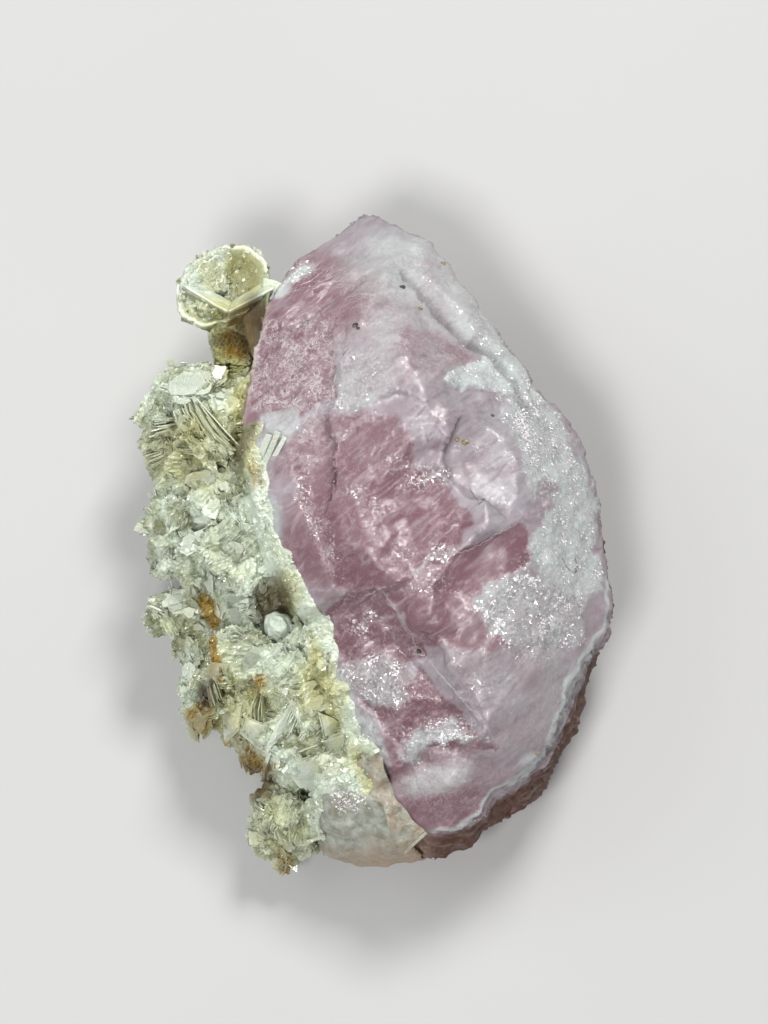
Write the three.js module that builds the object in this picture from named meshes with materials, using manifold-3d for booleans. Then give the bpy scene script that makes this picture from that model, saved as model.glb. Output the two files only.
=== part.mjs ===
// A pink apatite crystal on muscovite mica: a mineral specimen, lying on its flat back.
// Millimetres. +Z points up, out of the crystal's broken face, +Y towards its tip, and +X to the right as seen
// from above. The origin is on the flat face that the specimen rests on.

import * as THREE from "three";
import { ConvexGeometry } from "three/addons/geometries/ConvexGeometry.js";
import { mergeVertices } from "three/addons/utils/BufferGeometryUtils.js";
import Module from "manifold-3d";

const wasm = await Module();
wasm.setup();

// Driving dimensions
const CONTACT_GAP = 0.3; // left between two minerals that grew against each other
const CORNER_GAP = CONTACT_GAP * 0.85; // how far corners move out along each axis to leave that gap at least
const PLATE_OVERLAP = 0.04; // keeps two plates of one mica book in one solid
const BOOK_TAPER = 0.09; // how much smaller each plate of a book is than the one below
const FLOOR = 0; // height of the face that the specimen rests on
const WIDEST_HEIGHT = 8; // about how high the crystal is widest: ledges are cut in what lies above
const CRYSTAL_MIDDLE = 4; // x of the crystal's middle
const SMOOTH_BREAK = 5; // breaks with a larger radius are cut with finer faces
const FAR = 60; // farther out than any part of the specimen
const NATURAL_SEED = 41; // start of the number row behind every natural irregularity

// The border of the crystal's broken face, clockwise from the left shoulder
const FACE_BORDER = [
  [-8.5, 19, 15], [-6, 22.5, 14], [-2.5, 25.2, 13], [-0.5, 26.5, 12.5], [1, 26.2, 12.5], [4, 24.5, 13],
  [7, 20.5, 13.5], [10, 16, 13.5], [13.5, 12, 13], [16, 9, 12.5], [17.5, 5, 12], [18.5, -0.5, 11.5],
  [19, -5.5, 11], [17, -9.5, 13], [15, -14, 13.5], [13.5, -17, 13.5], [10.5, -20, 13], [8, -22.5, 12],
  [6.5, -23.3, 12], [3.5, -23.3, 12], [1.5, -21.5, 12.5], [0.5, -18.5, 13], [-1.5, -15.5, 14], [-4, -9.5, 15],
  [-6.5, -4, 15.5], [-9, 1, 16], [-10.5, 9, 16.5], [-9.7, 15, 16],
];
// The high places of the face, from the tip to the lower lobe
const FACE_TOPS = [
  [-1, 16, 19.4], [4, 10, 21.6], [7.5, 0.5, 22.3], [4.5, -6.5, 21.4], [9, -15.5, 17.8], [13.3, 6, 17.8],
  [14.2, -4, 17.4], [1, 20.5, 17.2], [-5.2, 6, 19.2], [-2, -1.5, 20], [12.5, -11, 17.2],
];
// The widest level of the sides. Below the face, on the lower right, it shows as a rim
const WIDEST = [
  [-8.5, 12, 9], [-6.5, 19, 8.5], [-2.5, 23.5, 7], [5, 22.5, 7], [10.5, 15.5, 7], [15.5, 8.5, 6.5],
  [18.2, 2, 6.5], [19, -5, 8.5], [18, -7.5, 7.5], [17, -10.5, 7], [16, -15, 6.5], [15, -16.5, 6.5],
  [14, -19.5, 6], [11, -21.2, 6], [9.5, -22.8, 6], [7.5, -24.3, 6], [5.5, -25, 6], [3.5, -24.5, 6],
];
// The flat cleavage that the crystal rests on
const CRYSTAL_BASE = [
  [-5, 16], [-1, 20], [4, 19], [9, 13.5], [13, 8], [15, 2], [15.5, -4], [13.5, -11], [11.5, -15.5],
  [8, -19], [3, -20.5], [-1, -17], [-3, -10], [-5, -2], [-6.5, 5], [-6.5, 11],
].map(([x, y]) => [x, y, FLOOR]);

// Ledges on the face. The area inside the outline sinks by depth at its edge (halfway between the first two
// corners), and less and less towards its hinge, where it doesn't sink at all
const LEDGES = [
  // Below the long curved fracture that crosses the crystal, and fades out to the right
  {
    depth: 0.4, hinge: [14.2, -3.7],
    outline: [
      [6, -3], [10, -1], [13.5, 1.5], [22, 5.5], [24, -30], [-10, -30], [-10, -7.3], [-2.5, -5.9], [2, -5],
    ],
  },
  // The trough left of the straight diagonal ridge
  {
    depth: 0.9, hinge: [-4, -14],
    outline: [
      [3.4, -10.2], [1, -6.4], [-3, -5.4], [-8, -8], [-8, -18], [2.2, -19], [4.4, -16.6], [9, -16.2],
      [6.6, -13.6],
    ],
  },
  // The lower lobe, which falls away from the trough
  { depth: 1.1, hinge: [9, -13], outline: [[2, -19], [-2, -16], [-6, -30], [12, -30], [10, -18], [4.6, -17]] },
  // Left of the pale plate, up to a line that runs with the growth lines
  {
    depth: 0.22, hinge: [-9.5, 11],
    outline: [[-3.5, 9], [-2, 14.5], [-1.6, 17.8], [-5.8, 14.9], [-9.9, 11.8], [-14, 9], [-14, 6], [-6, 7.4]],
  },
  // Below the pale plate, and left of the lilac plateau
  {
    depth: 0.25, hinge: [-8, -4],
    outline: [
      [-1, 9.3], [2, 10.6], [3.6, 9.6], [5.8, 8.4], [7.4, 6.4], [8.6, 2], [8, -0.5], [6, -3.2], [2, -5.2],
      [-2, -5.6], [-9, -4], [-9, 6], [-3.5, 8.8],
    ],
  },
  // The lilac plateau below the white wedge: it sinks to the right, under the frosted border
  {
    depth: 0.3, hinge: [5, 9],
    outline: [[10.4, 11], [13.6, 10], [15.3, 8], [15.6, 4], [13.6, 1.6], [8, 0], [7.4, 4], [5.2, 11.1]],
  },
  // Left of the broken cap at the tip
  { depth: 0.3, hinge: [-6, 18], outline: [[-0.4, 23], [1.8, 25], [1, 28], [-5, 28], [-6, 18]] },
];

// Shell-shaped breaks: where they bite, how wide they are, and how deep
const FACE_BREAKS = [
  { at: [2.2, 1.2], radii: [6.4, 7.2], depth: 1.3, turn: 20 },
  { at: [10.6, 5.0], radii: [4.4, 3.6], depth: 0.6, turn: -20 },
  { at: [9.4, -4.2], radii: [4.6, 2.8], depth: 0.9, turn: 38 },
  { at: [3.0, -12.2], radii: [2.8, 5.0], depth: 1.4, turn: 32 },
  { at: [-6, 4], radii: [2.6, 4.6], depth: 0.4, turn: -10 },
  { at: [-4.5, 19.5], radii: [2.6, 3.6], depth: 0.35, turn: -50 },
  { at: [6, 18.4], radii: [2.6, 4.2], depth: 0.35, turn: 35 },
  { at: [11.2, 13], radii: [2.8, 3.6], depth: 0.35, turn: 45 },
];
const SIDE_BREAKS = [
  { at: [13, 13, 4], radius: 6, bite: 1.2 }, { at: [4, 25, 6], radius: 5, bite: 1.4 },
  { at: [19, 2, 4], radius: 5, bite: 1.0 }, { at: [17, -12, 2.5], radius: 5, bite: 1.1 },
  { at: [12.5, -20.5, 2.5], radius: 4, bite: 0.9 }, { at: [4, -25, 3], radius: 4, bite: 1.1 },
  { at: [-5, 22, 7], radius: 4, bite: 1.0 }, { at: [12, 14, 0.5], radius: 5, bite: 1.6 },
  { at: [18, -3, 0.5], radius: 6, bite: 1.5 }, { at: [6, -24, 0.5], radius: 6, bite: 1.8 },
];
const RIM_CHIPS = { count: 14, radius: [0.8, 1.6], bite: [0.3, 0.6], height: [-2.6, 1.4] };
// The pale bumpy knobs on the right edge
const EDGE_KNOBS = [
  { at: [17.5, -5.4, 10.4], half: [1.5, 1.5, 2.4] }, { at: [17.7, -7.4, 10.2], half: [1.3, 1.4, 2.2] },
];

// Notches in the crystal's outline, cut straight down beside the broken cap
const CAP_NOTCHES = [
  [[-3.6, 26.6], [-2.7, 26.4], [-2.7, 25.0], [-6, 23.2], [-7, 25]],
  [[1.6, 27], [1.9, 25.8], [3.3, 25.6], [5, 27]],
];

// The white albite block below the crystal's left corner: its upper corners and its widest corners
const ALBITE_TOP = [
  [-3.5, -19.3, 12], [-2, -18.4, 13], [0, -18.8, 13], [1, -20.5, 12.5], [2.2, -22.3, 12], [3.4, -23.6, 10.8],
  [1, -24, 9.5], [-2.5, -23.5, 9.5], [-4.6, -21.5, 10.5],
];
const ALBITE_WIDEST = [
  [-4.8, -20, 6], [-5, -23, 5.5], [-4, -24.6, 5], [-2.5, -25.4, 5], [0, -25.7, 5], [2, -26, 5], [4, -25.6, 5],
  [5, -23, 5], [0, -17, 5],
];
const ALBITE_BASE = [
  [-3.6, -19.6], [-3.8, -22.4], [-0.5, -23.6], [3, -23], [2, -18],
].map(([x, y]) => [x, y, FLOOR]);
// Flat breaks across the albite: a place that each goes through, and the way it faces
const ALBITE_BREAKS = [
  { at: [-1.4, -23.4, 10.0], face: [-0.25, -0.65, 0.7] }, { at: [-4.3, -22.6, 8.4], face: [-0.8, -0.35, 0.45] },
  { at: [2.2, -24.4, 8.6], face: [0.25, -0.8, 0.5] }, { at: [-1.2, -20.6, 12.0], face: [-0.2, -0.1, 0.97] },
  { at: [0.5, -25.2, 4.0], face: [0.1, -0.95, -0.15] },
];

// The massive mica that carries the books, as sections along Y: y, then [x, height] of the widest place on the
// left, [x, height] of the left shoulder, height of the top, and x of the end under the crystal
const MICA_SECTIONS = [
  [14.0, [-16.6, 9.0], [-15.0, 11.2], 11.6, -9.5],
  [11.5, [-17.8, 8.5], [-16.2, 11.4], 12.8, -7.0],
  [8.0, [-17.4, 8.0], [-15.8, 11.4], 13.2, -6.5],
  [4.5, [-16.2, 8.0], [-14.8, 11.2], 13.2, -6.0],
  [1.0, [-17.0, 8.0], [-15.4, 11.6], 14.2, -5.0],
  [-2.5, [-15.6, 7.5], [-14.2, 11.2], 14.2, -4.0],
  [-5.5, [-16.6, 6.5], [-15.0, 8.8], 13.8, -3.0],
  [-8.5, [-14.2, 5.5], [-12.8, 8.2], 13.8, -2.0],
  [-12.5, [-14.6, 4.5], [-12.6, 7.4], 13.6, -0.5],
  [-15.5, [-12.0, 4.5], [-10.4, 7.0], 12.8, 0.5],
  [-18.2, [-9.2, 4.0], [-7.6, 6.4], 11.4, 1.0],
  [-19.6, [-7.8, 3.0], [-7.0, 4.4], 7.4, -2.0],
];
const MICA_UNDERCUT = 2.2; // how far the mica's base lies inside its widest place
const MICA_ROUGHNESS = 0.5; // how far a corner of the massive mica strays
const QUARTZ_GRAIN = { at: [-7.6, -7.1, 12.3], half: [1.15, 1.25, 1.3] };
const GRAIN_HOLLOW = { at: [-8.0, -6.0, 14.6], half: [2.2, 2.9, 4.0] };
const STAINED_RECESS = { at: [-12.0, -18.4, 6.4], half: [3.6, 2.8, 5.6] };

// Mica books, each a stack of thin six-sided plates: where it is, the way its flat face looks, how far it is
// turned in its own plane, its length and width, its thickness, and how many plates it shows
const UPPER_BOOKS = [
  { at: [-14.9, 12.6, 12.0], face: [-0.15, 0.3, 0.94], turn: 5, size: [6.2, 4.2], thick: 1.6, plates: 2 },
  { at: [-11.3, 11.2, 12.6], face: [0.1, 0.25, 0.95], turn: 40, size: [4.4, 3.2], thick: 1.2, plates: 2 },
  { at: [-17.6, 11.4, 10.2], face: [-0.75, 0.45, 0.5], turn: 75, size: [4.4, 3.4], thick: 1.6, plates: 2 },
  { at: [-17.3, 8.9, 9.4], face: [-0.25, 0.9, 0.35], turn: 0, size: [3.8, 4.4], thick: 2.6, plates: 4 },
  { at: [-17.0, 6.4, 8.8], face: [-0.6, -0.4, 0.65], turn: 60, size: [4.2, 3.4], thick: 1.4, plates: 2 },
  { at: [-14.3, 6.5, 12.4], face: [-0.15, -0.45, 0.88], turn: 10, size: [5.4, 3.4], thick: 1.5, plates: 2 },
  { at: [-10.6, 8.6, 11.4], face: [0.15, 0.93, 0.35], turn: 0, size: [2.8, 3.8], thick: 4.6, plates: 4 },
  { at: [-16.2, 3.9, 10.4], face: [-0.5, -0.1, 0.85], turn: 30, size: [4.2, 3.2], thick: 1.3, plates: 2 },
  { at: [-10.4, 5.0, 13.2], face: [0.4, -0.5, 0.75], turn: 15, size: [2.4, 1.8], thick: 1.0, plates: 2 },
];
// The fan of long blades that crosses the upper block: its two ends, and how its blades are set
const BLADE_FAN = {
  from: [-14.6, 11.2, 13.2], to: [-11.2, 5.8, 13.6], count: 4, step: [0.75, 0.65, -0.25],
  length: 6.4, width: 2.8, thick: 0.55,
};
const MIDDLE_BOOKS = [
  { at: [-15.9, 1.8, 11.6], face: [-0.4, 0.15, 0.9], turn: 15, size: [5.6, 4.6], thick: 2.0, plates: 3 },
  { at: [-16.9, -0.4, 9.0], face: [-0.85, -0.1, 0.5], turn: 80, size: [5.0, 4.0], thick: 1.6, plates: 2 },
  { at: [-12.6, 3.2, 13.2], face: [0.05, 0.3, 0.95], turn: 50, size: [5.0, 4.0], thick: 1.6, plates: 2 },
  { at: [-14.6, -1.9, 12.2], face: [-0.3, -0.25, 0.92], turn: 70, size: [4.4, 3.8], thick: 1.5, plates: 2 },
  { at: [-11.2, -0.9, 14.0], face: [0.15, -0.2, 0.97], turn: 5, size: [5.6, 4.6], thick: 1.6, plates: 2 },
  { at: [-8.6, 1.4, 14.6], face: [0.3, 0.15, 0.94], turn: 40, size: [3.8, 4.6], thick: 1.4, plates: 2 },
  { at: [-10.4, -3.2, 13.8], face: [-0.1, 0.3, 0.95], turn: 100, size: [3.8, 3.0], thick: 1.3, plates: 2 },
  { at: [-16.0, -5.4, 8.4], face: [-0.35, -0.3, 0.88], turn: 20, size: [5.8, 4.4], thick: 2.6, plates: 3 },
  { at: [-13.4, -4.4, 10.6], face: [-0.15, -0.3, 0.93], turn: 65, size: [4.6, 3.8], thick: 1.8, plates: 2 },
  { at: [-14.4, -8.0, 7.0], face: [-0.6, -0.5, 0.6], turn: 30, size: [4.2, 3.2], thick: 1.6, plates: 2 },
  { at: [-14.7, -10.8, 6.0], face: [-0.85, 0.1, 0.5], turn: 75, size: [3.6, 2.8], thick: 1.4, plates: 2 },
  { at: [-14.4, -13.2, 5.2], face: [-0.7, -0.4, 0.5], turn: 40, size: [3.6, 3.2], thick: 1.4, plates: 2 },
];
const LOWER_BOOKS = [
  { at: [-10.8, -9.4, 12.6], face: [-0.15, -0.15, 0.97], turn: 35, size: [6.0, 5.0], thick: 1.8, plates: 2 },
  { at: [-7.0, -10.8, 13.4], face: [0.2, -0.3, 0.93], turn: 70, size: [5.0, 4.0], thick: 1.4, plates: 2 },
  { at: [-5.0, -13.6, 13.2], face: [0.3, -0.25, 0.92], turn: 110, size: [5.0, 3.0], thick: 1.2, plates: 2 },
  { at: [-3.2, -16.9, 12.0], face: [0.2, -0.55, 0.8], turn: 150, size: [6.0, 3.4], thick: 1.5, plates: 2 },
  { at: [-5.8, -17.0, 10.8], face: [-0.2, -0.55, 0.8], turn: 30, size: [5.0, 3.4], thick: 1.6, plates: 2 },
  { at: [-8.6, -16.6, 8.6], face: [-0.5, -0.5, 0.7], turn: 50, size: [4.6, 3.4], thick: 1.6, plates: 2 },
  { at: [-6.8, -2.4, 14.8], face: [0.7, 0.5, 0.5], turn: 50, size: [4.4, 2.0], thick: 0.9, plates: 2 },
  { at: [-4.7, -7.8, 14.4], face: [0.75, -0.1, 0.62], turn: 95, size: [4.2, 2.0], thick: 0.9, plates: 2 },
  { at: [-3.7, -11.6, 14.0], face: [0.8, -0.2, 0.55], turn: 100, size: [5.4, 2.0], thick: 0.9, plates: 2 },
];
// Books along the outer wall, low down: each section of the massive mica gets one, set in by this much
const WALL_BOOKS = { height: [2.6, 5.4], inset: 0.7, size: [4.6, 3.8], thick: 1.3, plates: 1 };
// The wall at the upper end, and where along it books stand
const END_WALL = { length: 8, shares: [0.2, 0.75] };
// The two fans of olive blades at the bottom: their root, the compass of the blades, and the blades' size
const OLIVE_FANS = [
  { root: [-9.4, -12.0, 10.8], compass: [205, 275], count: 5, length: 4.6, width: 3.0, thick: 0.55, dip: 22 },
  { root: [-5.6, -12.6, 11.6], compass: [215, 262], count: 5, length: 5.6, width: 2.6, thick: 0.5, dip: 14 },
];
const TAIL_LUMP = { at: [-7.0, -21.7, 3.4], half: [2.2, 2.3, 3.8] };
const TAIL_BOOKS = [
  { at: [-7.3, -21.2, 6.6], face: [-0.2, -0.35, 0.9], turn: 20, size: [5.0, 3.8], thick: 1.6, plates: 3 },
  { at: [-8.7, -22.4, 4.6], face: [-0.75, 0.3, 0.55], turn: 60, size: [4.0, 3.0], thick: 1.8, plates: 2 },
  { at: [-7.3, -24.0, 3.8], face: [0.55, -0.6, 0.55], turn: 95, size: [3.8, 2.4], thick: 1.6, plates: 2 },
  { at: [-5.6, -22.8, 4.6], face: [0.5, -0.4, 0.75], turn: 130, size: [3.8, 3.0], thick: 2.0, plates: 2 },
];

// The mica rosette at the upper left: the border of its cup, and the steps of its leaves from the inmost
// outwards, as [share of the border, height]
const ROSETTE_BORDER = [
  [-15.7, 20.3], [-14.2, 22.4], [-12.2, 23.4], [-10.7, 23.6], [-9.6, 23.4], [-8.8, 22.6], [-8.4, 21.6],
  [-8.5, 20.2], [-9.5, 18.8], [-11.7, 17.9], [-13.9, 17.0], [-15.3, 17.3], [-15.8, 18.8],
];
const ROSETTE_ROOT = [-11.6, 18.8];
const ROSETTE_LEAVES = [[0.46, 9.6], [0.66, 11.0], [0.84, 12.3], [1.0, 13.6]];
const ROSETTE_LEAF_FALL = 1.6; // how far a leaf's underside drops towards the root
const ROSETTE_BOWL = { rim: 0.84, floor: 0.4, shift: [0.25, 0.75], depth: 2.6 };
const ROSETTE_FOLD = [
  { at: [-13.5, 18.9, 13.7], face: [0.3, 0.7, 0.65], turn: -32, size: [4.4, 1.7], thick: 0.6, plates: 2 },
  { at: [-10.1, 18.9, 13.7], face: [-0.3, 0.7, 0.65], turn: 30, size: [4.2, 1.6], thick: 0.6, plates: 2 },
];
const ROSETTE_STALK = [
  [-13.4, 17.6, 10.2], [-10.0, 18.8, 11.0], [-9.6, 18.0, 8.2], [-13.0, 17.0, 7.6], [-12.8, 14.4, 10.4],
  [-10.0, 13.4, 11.4], [-9.8, 12.4, 6.8], [-12.4, 13.0, 6.6],
];

// The row of seeded random numbers that every natural irregularity draws on
let seed = NATURAL_SEED;
function random(low = 0, high = 1) {
  seed = (seed * 1664525 + 1013904223) % 4294967296;
  return low + (high - low) * (seed / 4294967296);
}

// Solids and meshes

// A geometry's places alone, without normals and texture places
function barePoints(geometry) {
  const bare = geometry.index ? geometry.toNonIndexed() : geometry.clone();
  for (const name of Object.keys(bare.attributes)) {
    if (name !== "position") bare.deleteAttribute(name);
  }
  return bare;
}

function solidOf(geometry) {
  const merged = mergeVertices(barePoints(geometry), 1e-4);
  return new wasm.Manifold(
    new wasm.Mesh({
      numProp: 3,
      vertProperties: new Float32Array(merged.attributes.position.array),
      triVerts: new Uint32Array(merged.index.array),
    }),
  );
}

function geometryOf(solid) {
  const { vertProperties, triVerts, numProp } = solid.getMesh();
  const positions = new Float32Array((vertProperties.length / numProp) * 3);
  for (let i = 0; i < positions.length / 3; i++) {
    positions.set(vertProperties.subarray(i * numProp, i * numProp + 3), i * 3);
  }
  const geometry = new THREE.BufferGeometry();
  geometry.setAttribute("position", new THREE.BufferAttribute(positions, 3));
  geometry.setIndex(new THREE.BufferAttribute(new Uint32Array(triVerts), 1));
  geometry.computeVertexNormals();
  return geometry;
}

const vector = (point) => new THREE.Vector3(...point);
const hullGeometry = (points) => new ConvexGeometry(points.map(vector));
const hull = (points) => solidOf(hullGeometry(points));
const union = (solids) => solids.reduce((whole, next) => whole.add(next));
const cutAll = (solid, tools) => tools.reduce((left, tool) => left.subtract(tool), solid);

// A solid's one large body, without crumbs and closed bubbles
function wholeBody(solid) {
  return solid.decompose().reduce((best, body) => (body.volume() > best.volume() ? body : best));
}

function boxBetween(low, high) {
  const geometry = new THREE.BoxGeometry(high[0] - low[0], high[1] - low[1], high[2] - low[2]);
  return solidOf(geometry.translate((low[0] + high[0]) / 2, (low[1] + high[1]) / 2, (low[2] + high[2]) / 2));
}

const belowFloor = boxBetween([-FAR, -FAR, -FAR], [FAR, FAR, FLOOR]);

// The same corners moved out by a gap on every side, for cutting room round a convex solid
const grown = (points, gap) =>
  points.flatMap(([x, y, z]) =>
    [-gap, gap].flatMap((a) => [-gap, gap].flatMap((b) => [-gap, gap].map((c) => [x + a, y + b, z + c]))),
  );

// A ball with the given half sizes and few faces, turned about Z and set at a place
function ball(at, half, turn = 0, detail = 2) {
  const geometry = new THREE.IcosahedronGeometry(1, detail);
  return solidOf(
    geometry
      .scale(...half)
      .rotateZ(THREE.MathUtils.degToRad(turn))
      .translate(...at),
  );
}

// A rough lump: the hull of a ball's points, each pushed in or out
function lump({ at, half }) {
  const corners = mergeVertices(barePoints(new THREE.IcosahedronGeometry(1, 1)), 1e-4).attributes.position;
  const points = Array.from({ length: corners.count }, (_, i) => {
    const direction = new THREE.Vector3().fromBufferAttribute(corners, i);
    const reach = random(0.82, 1.08);
    return at.map((centre, axis) => centre + direction.getComponent(axis) * half[axis] * reach);
  });
  return hull(points);
}

// The crystal

const crystalCorners = [...FACE_BORDER, ...FACE_TOPS, ...WIDEST, ...CRYSTAL_BASE];
const uncutCrystal = new THREE.Mesh(hullGeometry(crystalCorners), new THREE.MeshBasicMaterial());
const crystalRoom = hull(grown(crystalCorners, CORNER_GAP));

// The point of the uncut crystal's face at x, y
function onFace(x, y) {
  const fromAbove = new THREE.Raycaster(new THREE.Vector3(x, y, FAR), new THREE.Vector3(0, 0, -1));
  return fromAbove.intersectObject(uncutCrystal)[0].point;
}

// What a ledge takes off: all inside its outline that lies above the uncut crystal once each of its points has
// sunk in proportion to how far it is from the hinge
function ledgeTool({ depth, hinge, outline }) {
  const area = new THREE.Shape(outline.map((corner) => new THREE.Vector2(...corner)));
  const column = new THREE.ExtrudeGeometry(area, { depth: FAR, bevelEnabled: false });
  const edge = new THREE.Vector2(...outline[0]).add(new THREE.Vector2(...outline[1])).multiplyScalar(0.5);
  const outward = edge.clone().sub(new THREE.Vector2(...hinge));
  const slope = outward.multiplyScalar(depth / outward.lengthSq());
  const rise = slope.x * hinge[0] + slope.y * hinge[1];
  const sink = new THREE.Matrix4().set(1, 0, 0, 0, 0, 1, 0, 0, -slope.x, -slope.y, 1, rise, 0, 0, 0, 1);
  const sunk = solidOf(uncutCrystal.geometry.clone().applyMatrix4(sink));
  return solidOf(column.translate(0, 0, WIDEST_HEIGHT)).subtract(sunk);
}

// The ball that leaves a shell-shaped break with the given radii and depth
function breakTool({ at, radii, depth, turn }) {
  const spread = 1.25; // the ball is wider than the mark that it leaves
  const height = depth / (1 - Math.sqrt(1 - 1 / spread ** 2));
  const middle = onFace(...at);
  const detail = radii[0] > SMOOTH_BREAK ? 2 : 1;
  return ball([...at, middle.z + height - depth], [radii[0] * spread, radii[1] * spread, height], turn, detail);
}

// A ball that bites a little into the side it stands beside
function sideTool({ at, radius, bite }) {
  const inward = new THREE.Vector3(CRYSTAL_MIDDLE - at[0], -at[1], 0).normalize();
  const outside = vector(at).addScaledVector(inward, -FAR);
  const surface = new THREE.Raycaster(outside, inward).intersectObject(uncutCrystal)[0].point;
  return ball(surface.addScaledVector(inward, bite - radius).toArray(), [radius, radius, radius * 0.8], 15, 1);
}

// Small chips along the rim, so that its lower edge is ragged
function rimChips() {
  const rim = WIDEST.slice(6);
  return Array.from({ length: RIM_CHIPS.count }, (_, i) => {
    const along = ((i + random(0.1, 0.9)) / RIM_CHIPS.count) * (rim.length - 1);
    const [a, b] = [vector(rim[Math.floor(along)]), vector(rim[Math.ceil(along)])];
    const chip = a.lerp(b, along % 1).add(new THREE.Vector3(0, 0, random(...RIM_CHIPS.height)));
    const [radius, bite] = [random(...RIM_CHIPS.radius), random(...RIM_CHIPS.bite)];
    return sideTool({ at: chip.toArray(), radius, bite });
  });
}

function notchTool(outline) {
  return hull(outline.flatMap(([x, y]) => [[x, y, -FAR], [x, y, FAR]]));
}

function apatiteCrystal() {
  const tools = [
    ...LEDGES.map(ledgeTool),
    ...FACE_BREAKS.map(breakTool),
    ...SIDE_BREAKS.map(sideTool),
    ...rimChips(),
    ...CAP_NOTCHES.map(notchTool),
  ];
  return wholeBody(union([cutAll(solidOf(uncutCrystal.geometry), tools), ...EDGE_KNOBS.map(lump)]));
}

// Albite and quartz

const albiteCorners = [...ALBITE_TOP, ...ALBITE_WIDEST, ...ALBITE_BASE];
const albiteRoom = hull(grown(albiteCorners, CORNER_GAP));

// All that lies beyond a flat break
function beyond({ at, face }) {
  return solidOf(place(new THREE.BoxGeometry(FAR, FAR, FAR).translate(0, 0, FAR / 2), at, face, 0));
}

function albiteBlock() {
  return wholeBody(cutAll(hull(albiteCorners), [...ALBITE_BREAKS.map(beyond), crystalRoom]));
}

function quartzGrain(extra = 0) {
  const half = QUARTZ_GRAIN.half.map((size) => size + extra);
  return ball(QUARTZ_GRAIN.at, half, 25, 1);
}

// Mica

// One thin plate with six uneven corners, lying in XY with its middle at the origin
function plateGeometry([length, width], thick) {
  const corners = Array.from({ length: 6 }, (_, i) => {
    const angle = ((i + random(-0.18, 0.18)) / 6) * Math.PI * 2;
    const reach = random(0.86, 1.08);
    return new THREE.Vector2((Math.cos(angle) * length * reach) / 2, (Math.sin(angle) * width * reach) / 2);
  });
  const plate = new THREE.ExtrudeGeometry(new THREE.Shape(corners), { depth: thick, bevelEnabled: false });
  return plate.translate(0, 0, -thick / 2);
}

// Turns a geometry that lies in XY so that it faces a direction, and moves it to a place
function place(geometry, at, face, turn) {
  const up = new THREE.Vector3(0, 0, 1);
  const facing = new THREE.Quaternion().setFromUnitVectors(up, vector(face).normalize());
  return geometry.rotateZ(THREE.MathUtils.degToRad(turn)).applyQuaternion(facing).translate(...at);
}

// A book: plates on one another, each a little smaller and turned a little, so that its sides are stepped
function book({ at, face, turn, size, thick, plates }) {
  const rise = thick / plates;
  return union(
    Array.from({ length: plates }, (_, i) => {
      const share = 1 - BOOK_TAPER * i;
      const plate = plateGeometry([size[0] * share, size[1] * share], rise + PLATE_OVERLAP);
      plate.translate(random(-0.12, 0.12) * size[0], random(-0.1, 0.1) * size[1], rise * (i + 0.5) - thick / 2);
      return solidOf(place(plate, at, face, turn + random(-8, 8)));
    }),
  );
}

// Long thin blades side by side, leaning on one another
function bladeFan({ from, to, count, step, length, width, thick }) {
  const along = vector(to).sub(vector(from));
  const middle = vector(from).addScaledVector(along, 0.5);
  const turn = THREE.MathUtils.radToDeg(Math.atan2(along.y, along.x));
  return Array.from({ length: count }, (_, i) => {
    const offset = vector(step).multiplyScalar(i - (count - 1) / 2);
    const face = [0.62 + random(-0.1, 0.1), 0.5 + random(-0.1, 0.1), 0.6];
    const blade = plateGeometry([length * random(0.8, 1.1), width], thick);
    const at = middle.clone().add(offset).toArray();
    return solidOf(place(blade, at, face, turn - 8 + random(-6, 6)));
  });
}

// Blades that spread from one root like an open hand
function oliveFan({ root, compass, count, length, width, thick, dip }) {
  return Array.from({ length: count }, (_, i) => {
    const heading = THREE.MathUtils.degToRad(compass[0] + ((compass[1] - compass[0]) * i) / (count - 1));
    const fall = THREE.MathUtils.degToRad(dip + random(-6, 6));
    const blade = plateGeometry([length, width], thick)
      .rotateX(Math.PI / 2 - 0.45 + random(-0.15, 0.15))
      .translate(length / 2, 0, 0)
      .rotateY(fall)
      .rotateZ(heading);
    return solidOf(blade.translate(...root));
  });
}

// One section of the massive mica, as the corners of a ring in XZ
function micaSection([y, [wideX, wideZ], [shoulderX, shoulderZ], top, right]) {
  const stray = () => random(-MICA_ROUGHNESS, MICA_ROUGHNESS);
  const rough = ([x, z]) => [x + stray(), y + stray(), z + stray()];
  return [
    ...[[wideX, wideZ], [shoulderX, shoulderZ], [(shoulderX + right) / 2, top], [right, top]].map(rough),
    [wideX + MICA_UNDERCUT + stray(), y, FLOOR],
    [right, y, FLOOR],
  ];
}

function massiveMica() {
  const rings = MICA_SECTIONS.map(micaSection);
  return union(rings.slice(1).map((ring, i) => hull([...rings[i], ...ring])));
}

// The books low on the outer wall, and two on the end wall
function wallBooks() {
  const { height, inset, size, thick, plates } = WALL_BOOKS;
  const alongWall = MICA_SECTIONS.slice(1, -1).map(([y, [wideX]]) => ({
    at: [wideX + MICA_UNDERCUT / 2 + inset, y + random(-0.8, 0.8), random(...height)],
    face: [-0.9, random(-0.45, 0.45), random(-0.25, 0.25)],
  }));
  const [endY, [endX]] = MICA_SECTIONS[0];
  const onEnd = END_WALL.shares.map((share) => ({
    at: [endX + share * END_WALL.length, endY - inset, random(...height)],
    face: [random(-0.3, 0.3), 0.9, random(-0.2, 0.3)],
  }));
  return [...alongWall, ...onEnd].map((spot) => book({ ...spot, turn: random(0, 180), size, thick, plates }));
}

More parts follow.
